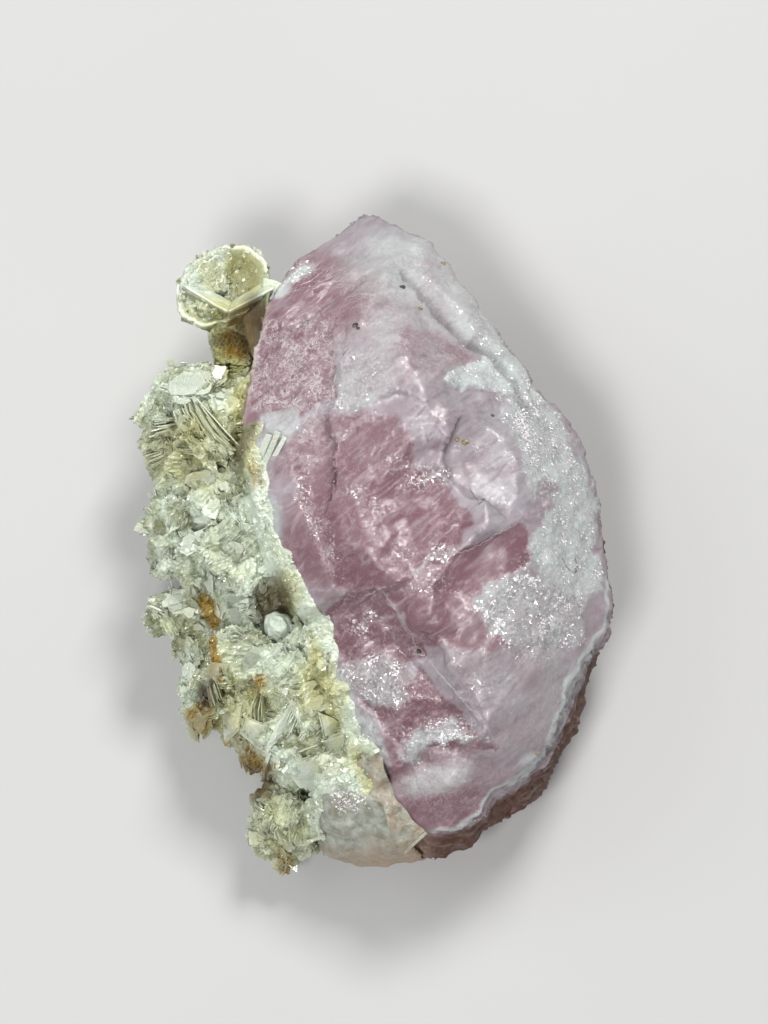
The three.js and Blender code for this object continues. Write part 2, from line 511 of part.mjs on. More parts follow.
function muscoviteMatrix() {
  const massive = cutAll(massiveMica(), [
    ball(GRAIN_HOLLOW.at, GRAIN_HOLLOW.half, 0, 1),
    ball(STAINED_RECESS.at, STAINED_RECESS.half, 10, 1),
  ]);
  const books = [...UPPER_BOOKS, ...MIDDLE_BOOKS, ...LOWER_BOOKS].map(book);
  const blades = [...bladeFan(BLADE_FAN), ...OLIVE_FANS.flatMap(oliveFan)];
  const whole = union([massive, ...wallBooks(), ...books, ...blades]);
  return wholeBody(cutAll(whole, [crystalRoom, albiteRoom, quartzGrain(CONTACT_GAP), belowFloor]));
}

// The rosette's border drawn in towards its root by a share, at a height
const rosetteRing = (share, z, shift = [0, 0]) =>
  ROSETTE_BORDER.map(([x, y]) => [
    ROSETTE_ROOT[0] + (x - ROSETTE_ROOT[0]) * share + shift[0],
    ROSETTE_ROOT[1] + (y - ROSETTE_ROOT[1]) * share + shift[1],
    z,
  ]);

// The cup of the rosette: leaves that widen upwards round a bowl, with a fold across its lower half
function rosetteCup() {
  const leaves = ROSETTE_LEAVES.map(([share, z]) =>
    hull([...rosetteRing(share, z), ...rosetteRing(share * 0.7, z - ROSETTE_LEAF_FALL)]),
  );
  const { rim, floor, shift, depth } = ROSETTE_BOWL;
  const top = ROSETTE_LEAVES.at(-1)[1];
  const bowl = hull([...rosetteRing(rim, top + 0.1, shift), ...rosetteRing(floor, top - depth, shift)]);
  return union([union(leaves).subtract(bowl), ...ROSETTE_FOLD.map(book)]);
}

function muscoviteRosette(matrixRoom) {
  return wholeBody(cutAll(union([rosetteCup(), hull(ROSETTE_STALK)]), [crystalRoom, matrixRoom]));
}

function muscoviteTail(matrixRoom) {
  const whole = union([lump(TAIL_LUMP), ...TAIL_BOOKS.map(book)]);
  return wholeBody(cutAll(whole, [albiteRoom, crystalRoom, matrixRoom, belowFloor]));
}

// A solid with a gap's worth of room round it: the solid and its copies moved out along the main directions
function roomRound(solid, gap) {
  const steps = [-gap, gap].flatMap((d) => [[d, 0, 0], [0, d, 0], [0, 0, d]]);
  return union([solid, ...steps.map((step) => solid.translate(step))]);
}

// The specimen

const MATERIALS = {
  apatite: { color: "#b98f98", roughness: 0.3 },
  muscovite: { color: "#b4b894", roughness: 0.45 },
  albite: { color: "#c3c3b2", roughness: 0.4 },
  quartz: { color: "#ccd4cb", roughness: 0.25 },
};

const matrix = muscoviteMatrix();
const matrixRoom = roomRound(matrix, CONTACT_GAP);
const pieces = {
  apatite_crystal: [apatiteCrystal(), MATERIALS.apatite],
  muscovite_matrix: [matrix, MATERIALS.muscovite],
  muscovite_rosette: [muscoviteRosette(matrixRoom), MATERIALS.muscovite],
  muscovite_tail_book: [muscoviteTail(matrixRoom), MATERIALS.muscovite],
  albite_block: [albiteBlock(), MATERIALS.albite],
  quartz_grain: [quartzGrain(), MATERIALS.quartz],
};

const specimen = new THREE.Group();
for (const [name, [solid, { color, roughness }]] of Object.entries(pieces)) {
  const material = new THREE.MeshStandardMaterial({ color, roughness, metalness: 0, flatShading: true });
  const mesh = new THREE.Mesh(geometryOf(solid), material);
  mesh.name = name;
  specimen.add(mesh);
}

export default specimen;
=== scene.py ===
import itertools
import math

import bmesh
import bpy
import numpy as np
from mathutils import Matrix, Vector
from mathutils.bvhtree import BVHTree


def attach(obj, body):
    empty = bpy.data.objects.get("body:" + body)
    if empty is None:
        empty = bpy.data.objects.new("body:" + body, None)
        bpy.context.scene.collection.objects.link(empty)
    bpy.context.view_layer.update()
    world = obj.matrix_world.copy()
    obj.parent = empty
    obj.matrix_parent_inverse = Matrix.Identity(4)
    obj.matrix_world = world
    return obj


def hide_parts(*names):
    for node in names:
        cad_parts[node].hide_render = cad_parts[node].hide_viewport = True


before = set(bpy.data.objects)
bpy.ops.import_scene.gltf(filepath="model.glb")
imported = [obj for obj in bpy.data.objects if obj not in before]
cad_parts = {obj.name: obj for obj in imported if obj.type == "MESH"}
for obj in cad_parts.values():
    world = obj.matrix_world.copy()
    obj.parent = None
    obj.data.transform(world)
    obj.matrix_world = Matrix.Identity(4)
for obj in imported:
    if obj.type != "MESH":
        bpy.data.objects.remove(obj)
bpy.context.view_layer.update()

MM = 0.001
scene = bpy.context.scene
scene.view_settings.view_transform = "Standard"
random = np.random.default_rng(8)


# The table top: a plain pale board of 1.2 m that the specimen lies on, with three square lamps round
# it. The camera looks at the specimen from nearly straight above, through a long lens.
BOARD_HALF = 0.6  # m
BOARD_DROP = 0.00005  # m, so that the board and the specimen's underside don't share a plane

board = bpy.data.meshes.new("board")
board.from_pydata(
    [(-BOARD_HALF, -BOARD_HALF, 0), (BOARD_HALF, -BOARD_HALF, 0),
     (BOARD_HALF, BOARD_HALF, 0), (-BOARD_HALF, BOARD_HALF, 0)],
    [], [(0, 1, 2, 3)])
floor = bpy.data.objects.new("table_top", board)
scene.collection.objects.link(floor)
floor.location.z = -BOARD_DROP


def node(tree, kind, inputs=None, **settings):
    """Adds a shader node, sets it, and puts a value or a link on each named input."""
    made = tree.nodes.new("ShaderNode" + kind)
    for key, value in settings.items():
        setattr(made, key, value)
    for key, value in (inputs or {}).items():
        if isinstance(value, bpy.types.NodeSocket):
            tree.links.new(value, made.inputs[key])
        else:
            made.inputs[key].default_value = value
    return made


def new_material(name):
    """A material with an empty node tree, and the tree."""
    made = bpy.data.materials.new(name)
    made.use_nodes = True
    made.node_tree.nodes.clear()
    return made, made.node_tree


def places_in_mm(tree):
    """The place on the object, in millimetres, for textures that stay fixed to it."""
    where = node(tree, "TexCoord").outputs["Object"]
    return node(tree, "VectorMath", {0: where, 1: (1000, 1000, 1000)}, operation="MULTIPLY").outputs[0]


def noise(tree, where, scale, detail, **more):
    """A cloudy number that changes from place to place."""
    return node(tree, "TexNoise", {"Vector": where, "Scale": scale, "Detail": detail, **more}).outputs["Fac"]


def blend(tree, factor, a, b):
    """A colour between two others."""
    return node(tree, "Mix", {"Factor": factor, "A": a, "B": b}, data_type="RGBA").outputs["Result"]


def board_material():
    """A matt grey, a little uneven."""
    made, tree = new_material("matt_board")
    clouds = noise(tree, places_in_mm(tree), 0.02, 4.0)
    body = blend(tree, clouds, (0.46, 0.46, 0.455, 1), (0.51, 0.51, 0.505, 1))
    paint = node(tree, "BsdfPrincipled", {"Base Color": body, "Roughness": 0.85})
    node(tree, "OutputMaterial", {"Surface": paint.outputs[0]})
    return made


board.materials.append(board_material())

AIM = Vector((0.84, 2.13, 12.4)) * MM
CAMERA_TILT = math.radians(10)
CAMERA_DISTANCE = 0.4  # m
SEEN_WIDTH = 0.06144  # m, how wide a piece of the world fills the picture where the camera aims
SENSOR = 36  # mm
camera = bpy.data.objects.new("camera", bpy.data.cameras.new("camera"))
scene.collection.objects.link(camera)
camera.location = AIM + Vector((0, -math.sin(CAMERA_TILT), math.cos(CAMERA_TILT))) * CAMERA_DISTANCE
camera.rotation_euler = (CAMERA_TILT, 0, 0)
camera.data.sensor_fit = "HORIZONTAL"
camera.data.sensor_width = SENSOR
camera.data.lens = SENSOR * CAMERA_DISTANCE / SEEN_WIDTH
camera.data.clip_start = 0.01
scene.camera = camera


def softbox(name, place, size, watts, colour=(1, 1, 1)):
    """A square lamp aimed at the specimen."""
    lamp = bpy.data.lights.new(name, "AREA")
    lamp.size = size
    lamp.energy = watts
    lamp.color = colour
    holder = bpy.data.objects.new(name, lamp)
    scene.collection.objects.link(holder)
    holder.location = place
    holder.rotation_euler = (AIM - Vector(place)).to_track_quat("-Z", "Y").to_euler()


# A warm key lamp from the upper right, a second one from the lower left, and a weak cool one from the left
softbox("key_light", (0.10, 0.27, 0.38), 0.13, 1.85, (1.0, 0.985, 0.96))
softbox("second_light", (-0.10, -0.17, 0.42), 0.12, 1.35, (1.0, 0.99, 0.98))
softbox("side_light", (-0.35, 0.10, 0.30), 0.30, 0.5, (0.95, 0.98, 1.0))
world = bpy.data.worlds.new("room")
world.use_nodes = True
world.node_tree.nodes["Background"].inputs["Color"].default_value = (0.93, 0.96, 1.0, 1)
world.node_tree.nodes["Background"].inputs["Strength"].default_value = 0.25
scene.world = world


# The apatite crystal: one thick pink crystal, broken across, that grew in a pocket of a coarse granite.
# Its face is a rough break, glassy where it's fresh and frosted where fine cracks scatter the light.
CRYSTAL_GRAIN = 0.23  # mm, the size of the finest shapes cut in its surface


def even_copy(name, grain, rounds=0):
    """A copy of a node's mesh with even faces of the given size, its edges worn down by some rounds."""
    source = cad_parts[name]
    shape = bmesh.new()
    shape.from_mesh(source.data)
    bmesh.ops.remove_doubles(shape, verts=shape.verts, dist=1e-7)
    mesh = bpy.data.meshes.new(name + "_even")
    shape.to_mesh(mesh)
    shape.free()
    rough = bpy.data.objects.new(name + "_even", mesh)
    scene.collection.objects.link(rough)
    remesh = rough.modifiers.new("even", "REMESH")
    remesh.mode = "VOXEL"
    remesh.voxel_size = grain * MM
    worn = rough.modifiers.new("worn", "SMOOTH")
    worn.iterations = rounds
    even = bpy.data.meshes.new_from_object(rough.evaluated_get(bpy.context.evaluated_depsgraph_get()))
    bpy.data.objects.remove(rough)
    even.materials.clear()
    return even


def read_points(mesh):
    """Every point of a mesh and its normal, in mm."""
    places = np.empty(len(mesh.vertices) * 3)
    mesh.vertices.foreach_get("co", places)
    normals = np.empty(len(mesh.vertices) * 3)
    mesh.vertex_normals.foreach_get("vector", normals)
    return places.reshape(-1, 3) / MM, normals.reshape(-1, 3)


def write_points(mesh, places):
    """Moves every point of a mesh to its new place, in mm."""
    mesh.vertices.foreach_set("co", (places * MM).ravel())
    mesh.update()


def write_mask(mesh, name, values):
    """Stores one number per point, for the material to read."""
    layer = mesh.attributes.new(name, "FLOAT", "POINT")
    layer.data.foreach_set("value", np.clip(values, 0, 1).astype(np.float32))


def place_piece(name, mesh, material, stands_for=None):
    """Puts a finished mesh in the scene as a piece of the specimen."""
    mesh.name = name
    mesh.materials.clear()
    mesh.materials.append(material)
    piece = bpy.data.objects.new(name, mesh)
    scene.collection.objects.link(piece)
    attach(piece, "root")
    if stands_for:
        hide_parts(stands_for)
    return piece


def dice(cell, salt):
    """A fixed random number from 0 to 1 for each whole-number place. The large factors only scatter the
    bits."""
    mixed = (cell[:, 0] * 73856093) ^ (cell[:, 1] * 19349663) ^ (cell[:, 2] * 83492791)
    mixed = mixed ^ (salt * 40503 + 977)
    mixed = ((mixed ^ (mixed >> 13)) * 1274126177) & 0xFFFFFFFF
    mixed = ((mixed ^ (mixed >> 15)) * 668265263) & 0xFFFFFFFF
    return (mixed ^ (mixed >> 14)) / 0xFFFFFFFF


def swell(places, size, salt=0):
    """Smooth random heights from -1 to 1 that rise and fall over about size mm."""
    scaled = places / size
    cell = np.floor(scaled).astype(np.int64)
    part = scaled - cell
    part = part * part * (3 - 2 * part)
    total = np.zeros(len(places))
    for corner in itertools.product((0, 1), repeat=3):
        share = np.prod([part[:, k] if corner[k] else 1 - part[:, k] for k in range(3)], axis=0)
        total += share * dice(cell + np.array(corner), salt)
    return total * 2 - 1


def cells(places, size, salt=0):
    """Irregular cells about size mm wide. For each place: three random numbers of its cell, where it is
    from the cell's middle, and how far it is from the cell's border, 0 on the border."""
    scaled = places / size
    base = np.floor(scaled).astype(np.int64)
    near = np.full(len(places), 9.0)
    second = near.copy()
    own = np.zeros_like(places)
    from_middle = np.zeros_like(places)
    for step in itertools.product((-1, 0, 1), repeat=3):
        cell = base + np.array(step)
        numbers = np.stack([dice(cell, salt + k) for k in range(3)], axis=1)
        away = scaled - cell - numbers
        distance = np.linalg.norm(away, axis=1)
        closer = distance < near
        second = np.where(closer, near, np.minimum(second, distance))
        near = np.where(closer, distance, near)
        own = np.where(closer[:, None], numbers, own)
        from_middle = np.where(closer[:, None], away, from_middle)
    return own, from_middle, second - near


def facets(places, size, salt=0):
    """Small flat breaks: for each place the height of the tilted flat that it lies on, from about -1 to
    1."""
    own, from_middle, _ = cells(places, size, salt)
    return (from_middle * (own[:, [1, 2, 0]] - 0.5) * 2).sum(axis=1)


def flats(places, size, salt=0):
    """Flat breaks about size mm wide that meet in sharp edges, as heights from -1 to 1."""
    bent = places + 0.25 * size * np.stack([swell(places, 1.3 * size, salt + k) for k in (7, 8, 9)], axis=1)
    scaled = (bent @ np.array([(0.36, 0.48, -0.8), (-0.8, 0.6, 0.0), (0.48, 0.64, 0.6)])) / size
    cell = np.floor(scaled).astype(np.int64)
    part = scaled - cell
    order = np.argsort(-part, axis=1)
    ranked = np.take_along_axis(part, order, axis=1)
    rows = np.arange(len(places))
    total = (1 - ranked[:, 0]) * dice(cell, salt)
    for k in range(3):
        cell[rows, order[:, k]] += 1
        weight = ranked[:, k] - (ranked[:, k + 1] if k < 2 else 0)
        total += weight * dice(cell, salt)
    return total * 2 - 1


def ease(values, low, high):
    """0 below low, 1 above high, and smooth between."""
    part = np.clip((values - low) / (high - low), 0, 1)
    return part * part * (3 - 2 * part)


def patch(places, middle, radii, turn=0, soft=0.45):
    """1 inside an ellipse on the face, fading to 0 at its border."""
    angle = math.radians(turn)
    x, y = places[:, 0] - middle[0], places[:, 1] - middle[1]
    along = (x * math.cos(angle) + y * math.sin(angle)) / radii[0]
    across = (y * math.cos(angle) - x * math.sin(angle)) / radii[1]
    return 1 - ease(np.hypot(along, across), 1 - soft, 1 + soft)


def patches(places, spots):
    """The strongest of several patches, each (strength, middle, radii, turn)."""
    return np.max([strength * patch(places, *spot) for strength, *spot in spots], axis=0)


def off_line(places, line):
    """How far each place is from a line across the face, positive on its left, and how far along it is
    from 0 to 1."""
    best = np.full(len(places), 1e9)
    side = np.ones(len(places))
    share = np.zeros(len(places))
    for number, ((ax, ay), (bx, by)) in enumerate(zip(line, line[1:])):
        dx, dy = bx - ax, by - ay
        x, y = places[:, 0] - ax, places[:, 1] - ay
        part = np.clip((x * dx + y * dy) / (dx * dx + dy * dy), 0, 1)
        distance = np.hypot(x - part * dx, y - part * dy)
        closer = distance < best
        best = np.where(closer, distance, best)
        side = np.where(closer, np.sign(dx * y - dy * x), side)
        share = np.where(closer, (number + part) / (len(line) - 1), share)
    return best * side, share


def inside(places, outline, soft=0.1):
    """1 inside an outline on the face and 0 outside it. The border is a little ragged."""
    x = places[:, 0] + (0.16 + soft) * (swell(places, 0.9, 61) + 0.6 * swell(places, 0.4, 62))
    y = places[:, 1] + (0.16 + soft) * (swell(places, 0.9, 63) + 0.6 * swell(places, 0.4, 64))
    near = np.full(len(places), 1e9)
    within = np.zeros(len(places), bool)
    for (ax, ay), (bx, by) in zip(outline, outline[1:] + outline[:1]):
        dx, dy = bx - ax, by - ay
        part = np.clip(((x - ax) * dx + (y - ay) * dy) / (dx * dx + dy * dy), 0, 1)
        near = np.minimum(near, np.hypot(x - ax - part * dx, y - ay - part * dy))
        if dy:
            within ^= ((ay > y) != (by > y)) & (x < ax + (y - ay) * dx / dy)
    return ease(np.where(within, near, -near), -soft, soft)


# The areas that the breaks divide the face into. For each: how pink, frosted, veined and glittering it
# is, how deep it lies in mm, how soft its border is, and its outline.
AREAS = [
    # The pale plane at the lower right, and the smooth lilac plateau
    (0.26, 0.10, 0.1, 0.12, 0.0, 0.12, [
        (4.1, -10.3), (6.5, -9.9), (10.1, -9.8), (16.1, -9.4), (14.9, -13.4), (13.7, -17.2),
        (10.1, -17.8), (6.5, -14.0)]),
    (0.10, 0.0, 0.1, 0.06, 0.0, 0.25, [
        (2.5, 10.3), (5.3, 10.4), (10.1, 10.2), (11.6, 7.0), (13.3, 2.2), (10.1, -0.3), (7.6, 1.2),
        (6.3, 4.9), (3.7, 6.5), (2.5, 8.1)]),
    # The deep pink ones: veined, centre, below the arc, trough in two parts, two pockets of the lower
    # lobe, and a fainter one above the plateau
    (0.82, 0.0, 1.0, 0.15, 0.12, 0.12, [
        (-9.5, 15.0), (-8.9, 17.2), (-5.9, 17.2), (-3.5, 15.9), (-2.8, 13.3), (-3.2, 11.9), (-2.9, 9.8),
        (-4.1, 10.4), (-5.9, 8.5), (-8.9, 8.3), (-10.1, 10.5)]),
    (0.95, 0.0, 0.06, 0.06, 0.10, 0.3, [
        (-2.3, 7.9), (-0.9, 8.6), (2.1, 7.8), (3.1, 6.5), (3.6, 4.2), (5.3, 3.3), (6.5, 1.7),
        (7.7, 0.0), (6.9, -2.0), (4.5, -2.3), (2.1, -4.9), (-0.3, -5.4), (-2.7, -5.3), (-3.5, -2.8),
        (-4.4, 0.4), (-5.9, 2.1), (-5.2, 4.5), (-3.1, 6.7)]),
    (0.86, 0.0, 0.0, 0.05, 0.14, 0.08, [
        (11.7, 0.2), (12.0, -0.9), (11.9, -3.3), (10.5, -4.0), (8.8, -4.7), (8.1, -6.3), (7.1, -8.4),
        (6.5, -9.6), (4.1, -9.6), (2.3, -7.4), (0.9, -5.4), (3.1, -4.2), (4.9, -3.2), (7.3, -2.2),
        (10.1, -0.7)]),
    (1.0, 0.0, 0.06, 0.2, 0.16, 0.08, [
        (-2.3, -5.6), (0.8, -5.4), (2.1, -7.6), (3.7, -9.2), (4.1, -10.3), (2.1, -10.8), (-0.3, -10.6),
        (-2.3, -10.3), (-3.9, -8.6), (-3.6, -6.4)]),
    (1.0, 0.0, 0.06, 0.2, 0.14, 0.08, [
        (-1.1, -12.7), (2.1, -13.0), (2.9, -12.2), (3.7, -11.1), (6.1, -14.0), (8.9, -17.1),
        (10.0, -17.7), (6.1, -17.4), (2.1, -17.2), (0.5, -15.5)]),
    (0.9, 0.0, 0.2, 0.1, 0.12, 0.08, [(5.3, -16.8), (8.5, -16.8), (9.9, -17.5), (6.1, -17.9)]),
    (0.8, 0.0, 0.2, 0.1, 0.10, 0.08, [(0.5, -17.2), (2.5, -17.7), (2.7, -18.6), (0.9, -18.5)]),
    (0.4, 0.0, 0.4, 0.20, 0.03, 0.4, [
        (2.1, 15.7), (6.9, 15.4), (7.6, 14.1), (5.3, 11.5), (2.9, 10.9), (1.8, 13.1)]),
    # The white ones: wedge, right side, rough top of it, glittering patch, band over the trough, arch,
    # the strip along the mica, and two small ones at the upper left
    (0.04, 0.95, 0.2, 0.5, -0.12, 0.08, [
        (5.1, 11.2), (6.5, 12.4), (8.5, 13.6), (10.0, 15.4), (11.7, 14.3), (14.0, 11.1), (11.7, 10.7),
        (9.3, 11.0), (6.5, 11.1)]),
    (0.0, 0.9, 0.4, 0.5, 0.0, 0.35, [
        (12.5, 8.5), (14.9, 9.4), (17.5, 3.9), (18.0, -0.1), (18.0, -4.2), (14.9, -5.7), (13.3, -4.0),
        (12.3, -2.9), (12.1, -0.9), (13.7, 1.4), (14.9, 3.4), (12.5, 4.5)]),
    (0.12, 0.6, 0.4, 0.8, 0.0, 0.3, [
        (10.1, 10.4), (14.1, 11.1), (16.1, 7.9), (13.7, 4.7), (12.5, 2.1), (11.3, 6.9)]),
    (0.22, 0.45, 0.3, 1.0, -0.04, 0.4, [
        (8.5, -5.1), (10.1, -4.0), (13.3, -4.0), (16.9, -5.3), (16.9, -8.4), (13.3, -9.5), (10.9, -9.3),
        (8.5, -7.5), (8.1, -6.3)]),
    (0.5, 0.32, 0.3, 1.0, -0.04, 0.45, [
        (-2.3, -10.5), (2.1, -10.3), (2.9, -13.1), (1.7, -14.7), (-0.3, -12.8), (-3.1, -12.1),
        (-3.5, -10.8)]),
    (0.35, 0.5, 0.3, 1.0, -0.04, 0.3, [
        (2.1, -17.0), (3.7, -15.7), (6.1, -15.4), (9.0, -16.8), (5.3, -16.8), (4.0, -17.5),
        (3.3, -18.6), (2.3, -18.0)]),
    (0.15, 0.6, 0.3, 0.5, 0.0, 0.3, [
        (-3.9, -9.4), (-2.7, -10.7), (0.5, -16.5), (1.3, -18.9), (-0.4, -17.2), (-2.8, -12.7)]),
    (0.34, 0.3, 0.5, 0.3, -0.03, 0.14, [
        (-3.2, 11.3), (-2.5, 13.5), (-0.7, 13.8), (1.5, 12.5), (2.0, 10.7), (0.9, 10.1), (-2.3, 9.5)]),
    (0.2, 0.5, 0.3, 0.1, 0.0, 0.3, [(-8.9, 9.2), (-5.9, 9.8), (-5.4, 7.7), (-6.7, 6.5), (-8.7, 7.1)]),
]
# How pink the rest of the face is: strength, middle, radii, turn
PINK = [
    (0.6, (-8.6, 8.4), (2.0, 3.4), 0), (0.42, (5.4, -21.0), (4.2, 3.4), 10),
    (0.5, (-4.6, -1.2), (3.2, 4.0), 25), (0.5, (-3.6, 18.6), (4.4, 3.6), 0),
    (0.4, (8.2, -8.0), (2.6, 3.2), 0), (0.55, (-3.4, 6.2), (4.6, 2.4), 20),
    (0.5, (2.6, -17.6), (3.0, 2.2), 0), (0.9, (-7.6, 16.2), (2.0, 1.6), 0),
]
# Where the rest of the face is frosted white
FROST = [
    (0.5, (2.8, 21.4), (5.0, 3.4), 0), (0.25, (3.0, 14.6), (4.6, 3.2), 0),
    (0.7, (-8.2, 0.6), (1.0, 2.0), 0), (0.6, (14.2, -14.4), (0.8, 4.4), -28),
    (0.5, (-5.2, -6.6), (0.9, 3.0), 40), (0.6, (8.0, 17.4), (2.0, 4.4), 35),
    (0.9, (-6.1, 21.0), (1.4, 0.5), 30), (0.8, (-7.3, 19.6), (0.8, 0.4), 30),
    (0.45, (-1.0, 10.0), (2.0, 1.0), 20), (0.6, (-9.0, 6.4), (0.9, 1.4), -20),
    (0.5, (5.0, -19.6), (3.0, 1.0), 10),
]
# Small rough places that glitter
GLITTER = [
    (1.0, (-1.5, 2.4), (1.2, 0.6), 0), (1.0, (-0.1, 1.6), (1.0, 0.6), -20),
    (1.0, (3.7, 3.5), (1.6, 0.9), 20), (0.9, (1.7, 4.7), (1.2, 0.7), 0),
    (1.0, (5.3, 3.8), (0.9, 0.7), 0), (1.0, (2.5, -2.2), (0.9, 0.8), 0),
    (1.0, (5.3, -2.6), (1.5, 0.8), 15), (0.9, (-1.1, -7.6), (1.6, 0.8), 0),
    (1.0, (0.1, -11.2), (1.8, 1.5), 0), (1.0, (5.3, -15.7), (3.0, 0.8), 4),
    (0.9, (10.1, -6.2), (2.6, 1.0), 0), (0.8, (12.4, -8.6), (3.0, 2.4), 0),
    (0.8, (-5.9, 21.1), (1.6, 0.8), 30), (0.7, (9.6, 17.0), (1.6, 2.6), 30),
    (0.8, (14.0, 5.0), (2.0, 4.0), 20), (0.9, (-8.0, 12.8), (0.7, 0.6), 0),
    (1.0, (7.4, 6.0), (1.2, 0.4), 0), (0.7, (4.4, -5.0), (2.2, 1.2), 0),
    (0.8, (9.6, -22.0), (2.4, 0.8), 30), (0.6, (8.4, -12.6), (1.8, 1.0), 0),
    (0.7, (-2.2, 9.4), (1.4, 0.6), 0), (0.7, (-5.0, 1.2), (0.6, 3.4), 20),
    (0.6, (-3.4, -1.4), (0.5, 3.2), 15), (0.7, (13.0, -2.4), (2.2, 1.0), 30),
]
# Fine veins like torn threads
VEINED = [
    (1.0, (-4.8, 12.4), (3.4, 4.6), 0), (0.6, (-6.4, 7.4), (2.4, 2.4), 0),
    (0.6, (-0.6, 6.4), (3.4, 2.4), 0), (0.5, (0.6, -1.0), (4.6, 3.6), 0),
    (0.5, (2.4, 18.4), (4.0, 3.0), 0), (0.4, (6.0, -19.6), (4.0, 3.6), 0),
]
# Where the break is glassy smooth
SMOOTH = [
    (1, (10.4, -11.8), (3.4, 5.4), 25), (1, (10.2, 5.6), (3.4, 3.2), 0), (0.7, (5.0, 16.4), (4, 3), 0),
    (1, (9.4, -3.0), (3.4, 1.6), 35), (0.8, (1.4, -4.2), (3.0, 1.6), 10),
    (0.8, (-4.8, -0.8), (1.6, 3.4), 25), (0.8, (4.0, -12.6), (1.6, 4.0), 35),
    (0.6, (3.6, -20.4), (2.6, 2.0), 0),
]
# Small ledges that cross the face: how deep, how wide, and the line, with the low side on its right
SMALL_LEDGES = [
    (0.40, 1.6, [
        (10.4, -16.8), (8.3, -15.6), (6.2, -15.3), (3.9, -15.5), (2.4, -17.0), (2.9, -18.3),
        (3.9, -20.5)]),
    (0.25, 1.0, [(3.0, -7.4), (0.0, -7.2), (-2.8, -8.6)]),
    (0.30, 1.2, [(4.6, -12.6), (1.6, -9.6), (-1.0, -10.2), (-2.2, -12.0)]),
    (0.25, 1.0, [(12.8, 4.6), (13.6, 1.6), (10.4, 0.2), (7.6, 2.8)]),
    (0.20, 1.0, [(-7.0, 22.0), (-2.0, 20.2), (2.4, 22.4), (6.0, 21.0)]),
    (0.22, 1.4, [(-3.1, -4.9), (-4.2, -1.3), (-5.2, 1.0), (-6.6, 2.4)]),
    (0.20, 1.2, [(15.4, -9.0), (11.0, -6.6), (8.6, -9.6), (9.0, -13.0)]),
    (0.25, 0.9, [(5.1, 10.9), (7.1, 11.1), (9.2, 11.0), (12.4, 10.1)]),
]
# The crisp white edge of the face along the lower right, and the thin pale one along the upper left
FRONT_EDGE = [
    (18.6, -3.0), (18.4, -7.0), (16.8, -9.6), (15.1, -12.7), (14.8, -14.1), (14.0, -16.4),
    (11.8, -19.4), (10.4, -20.0), (8.8, -21.4), (7.8, -22.7), (6.6, -23.3), (3.6, -23.3), (2.5, -22.7),
    (1.5, -21.6), (0.5, -18.5), (-0.9, -16.9), (-2.5, -13.2), (-4.0, -9.5),
]
LEFT_EDGE = [(-8.5, 19.0), (-9.7, 15.0), (-10.2, 11.0), (-10.5, 9.0), (-9.6, 4.5)]


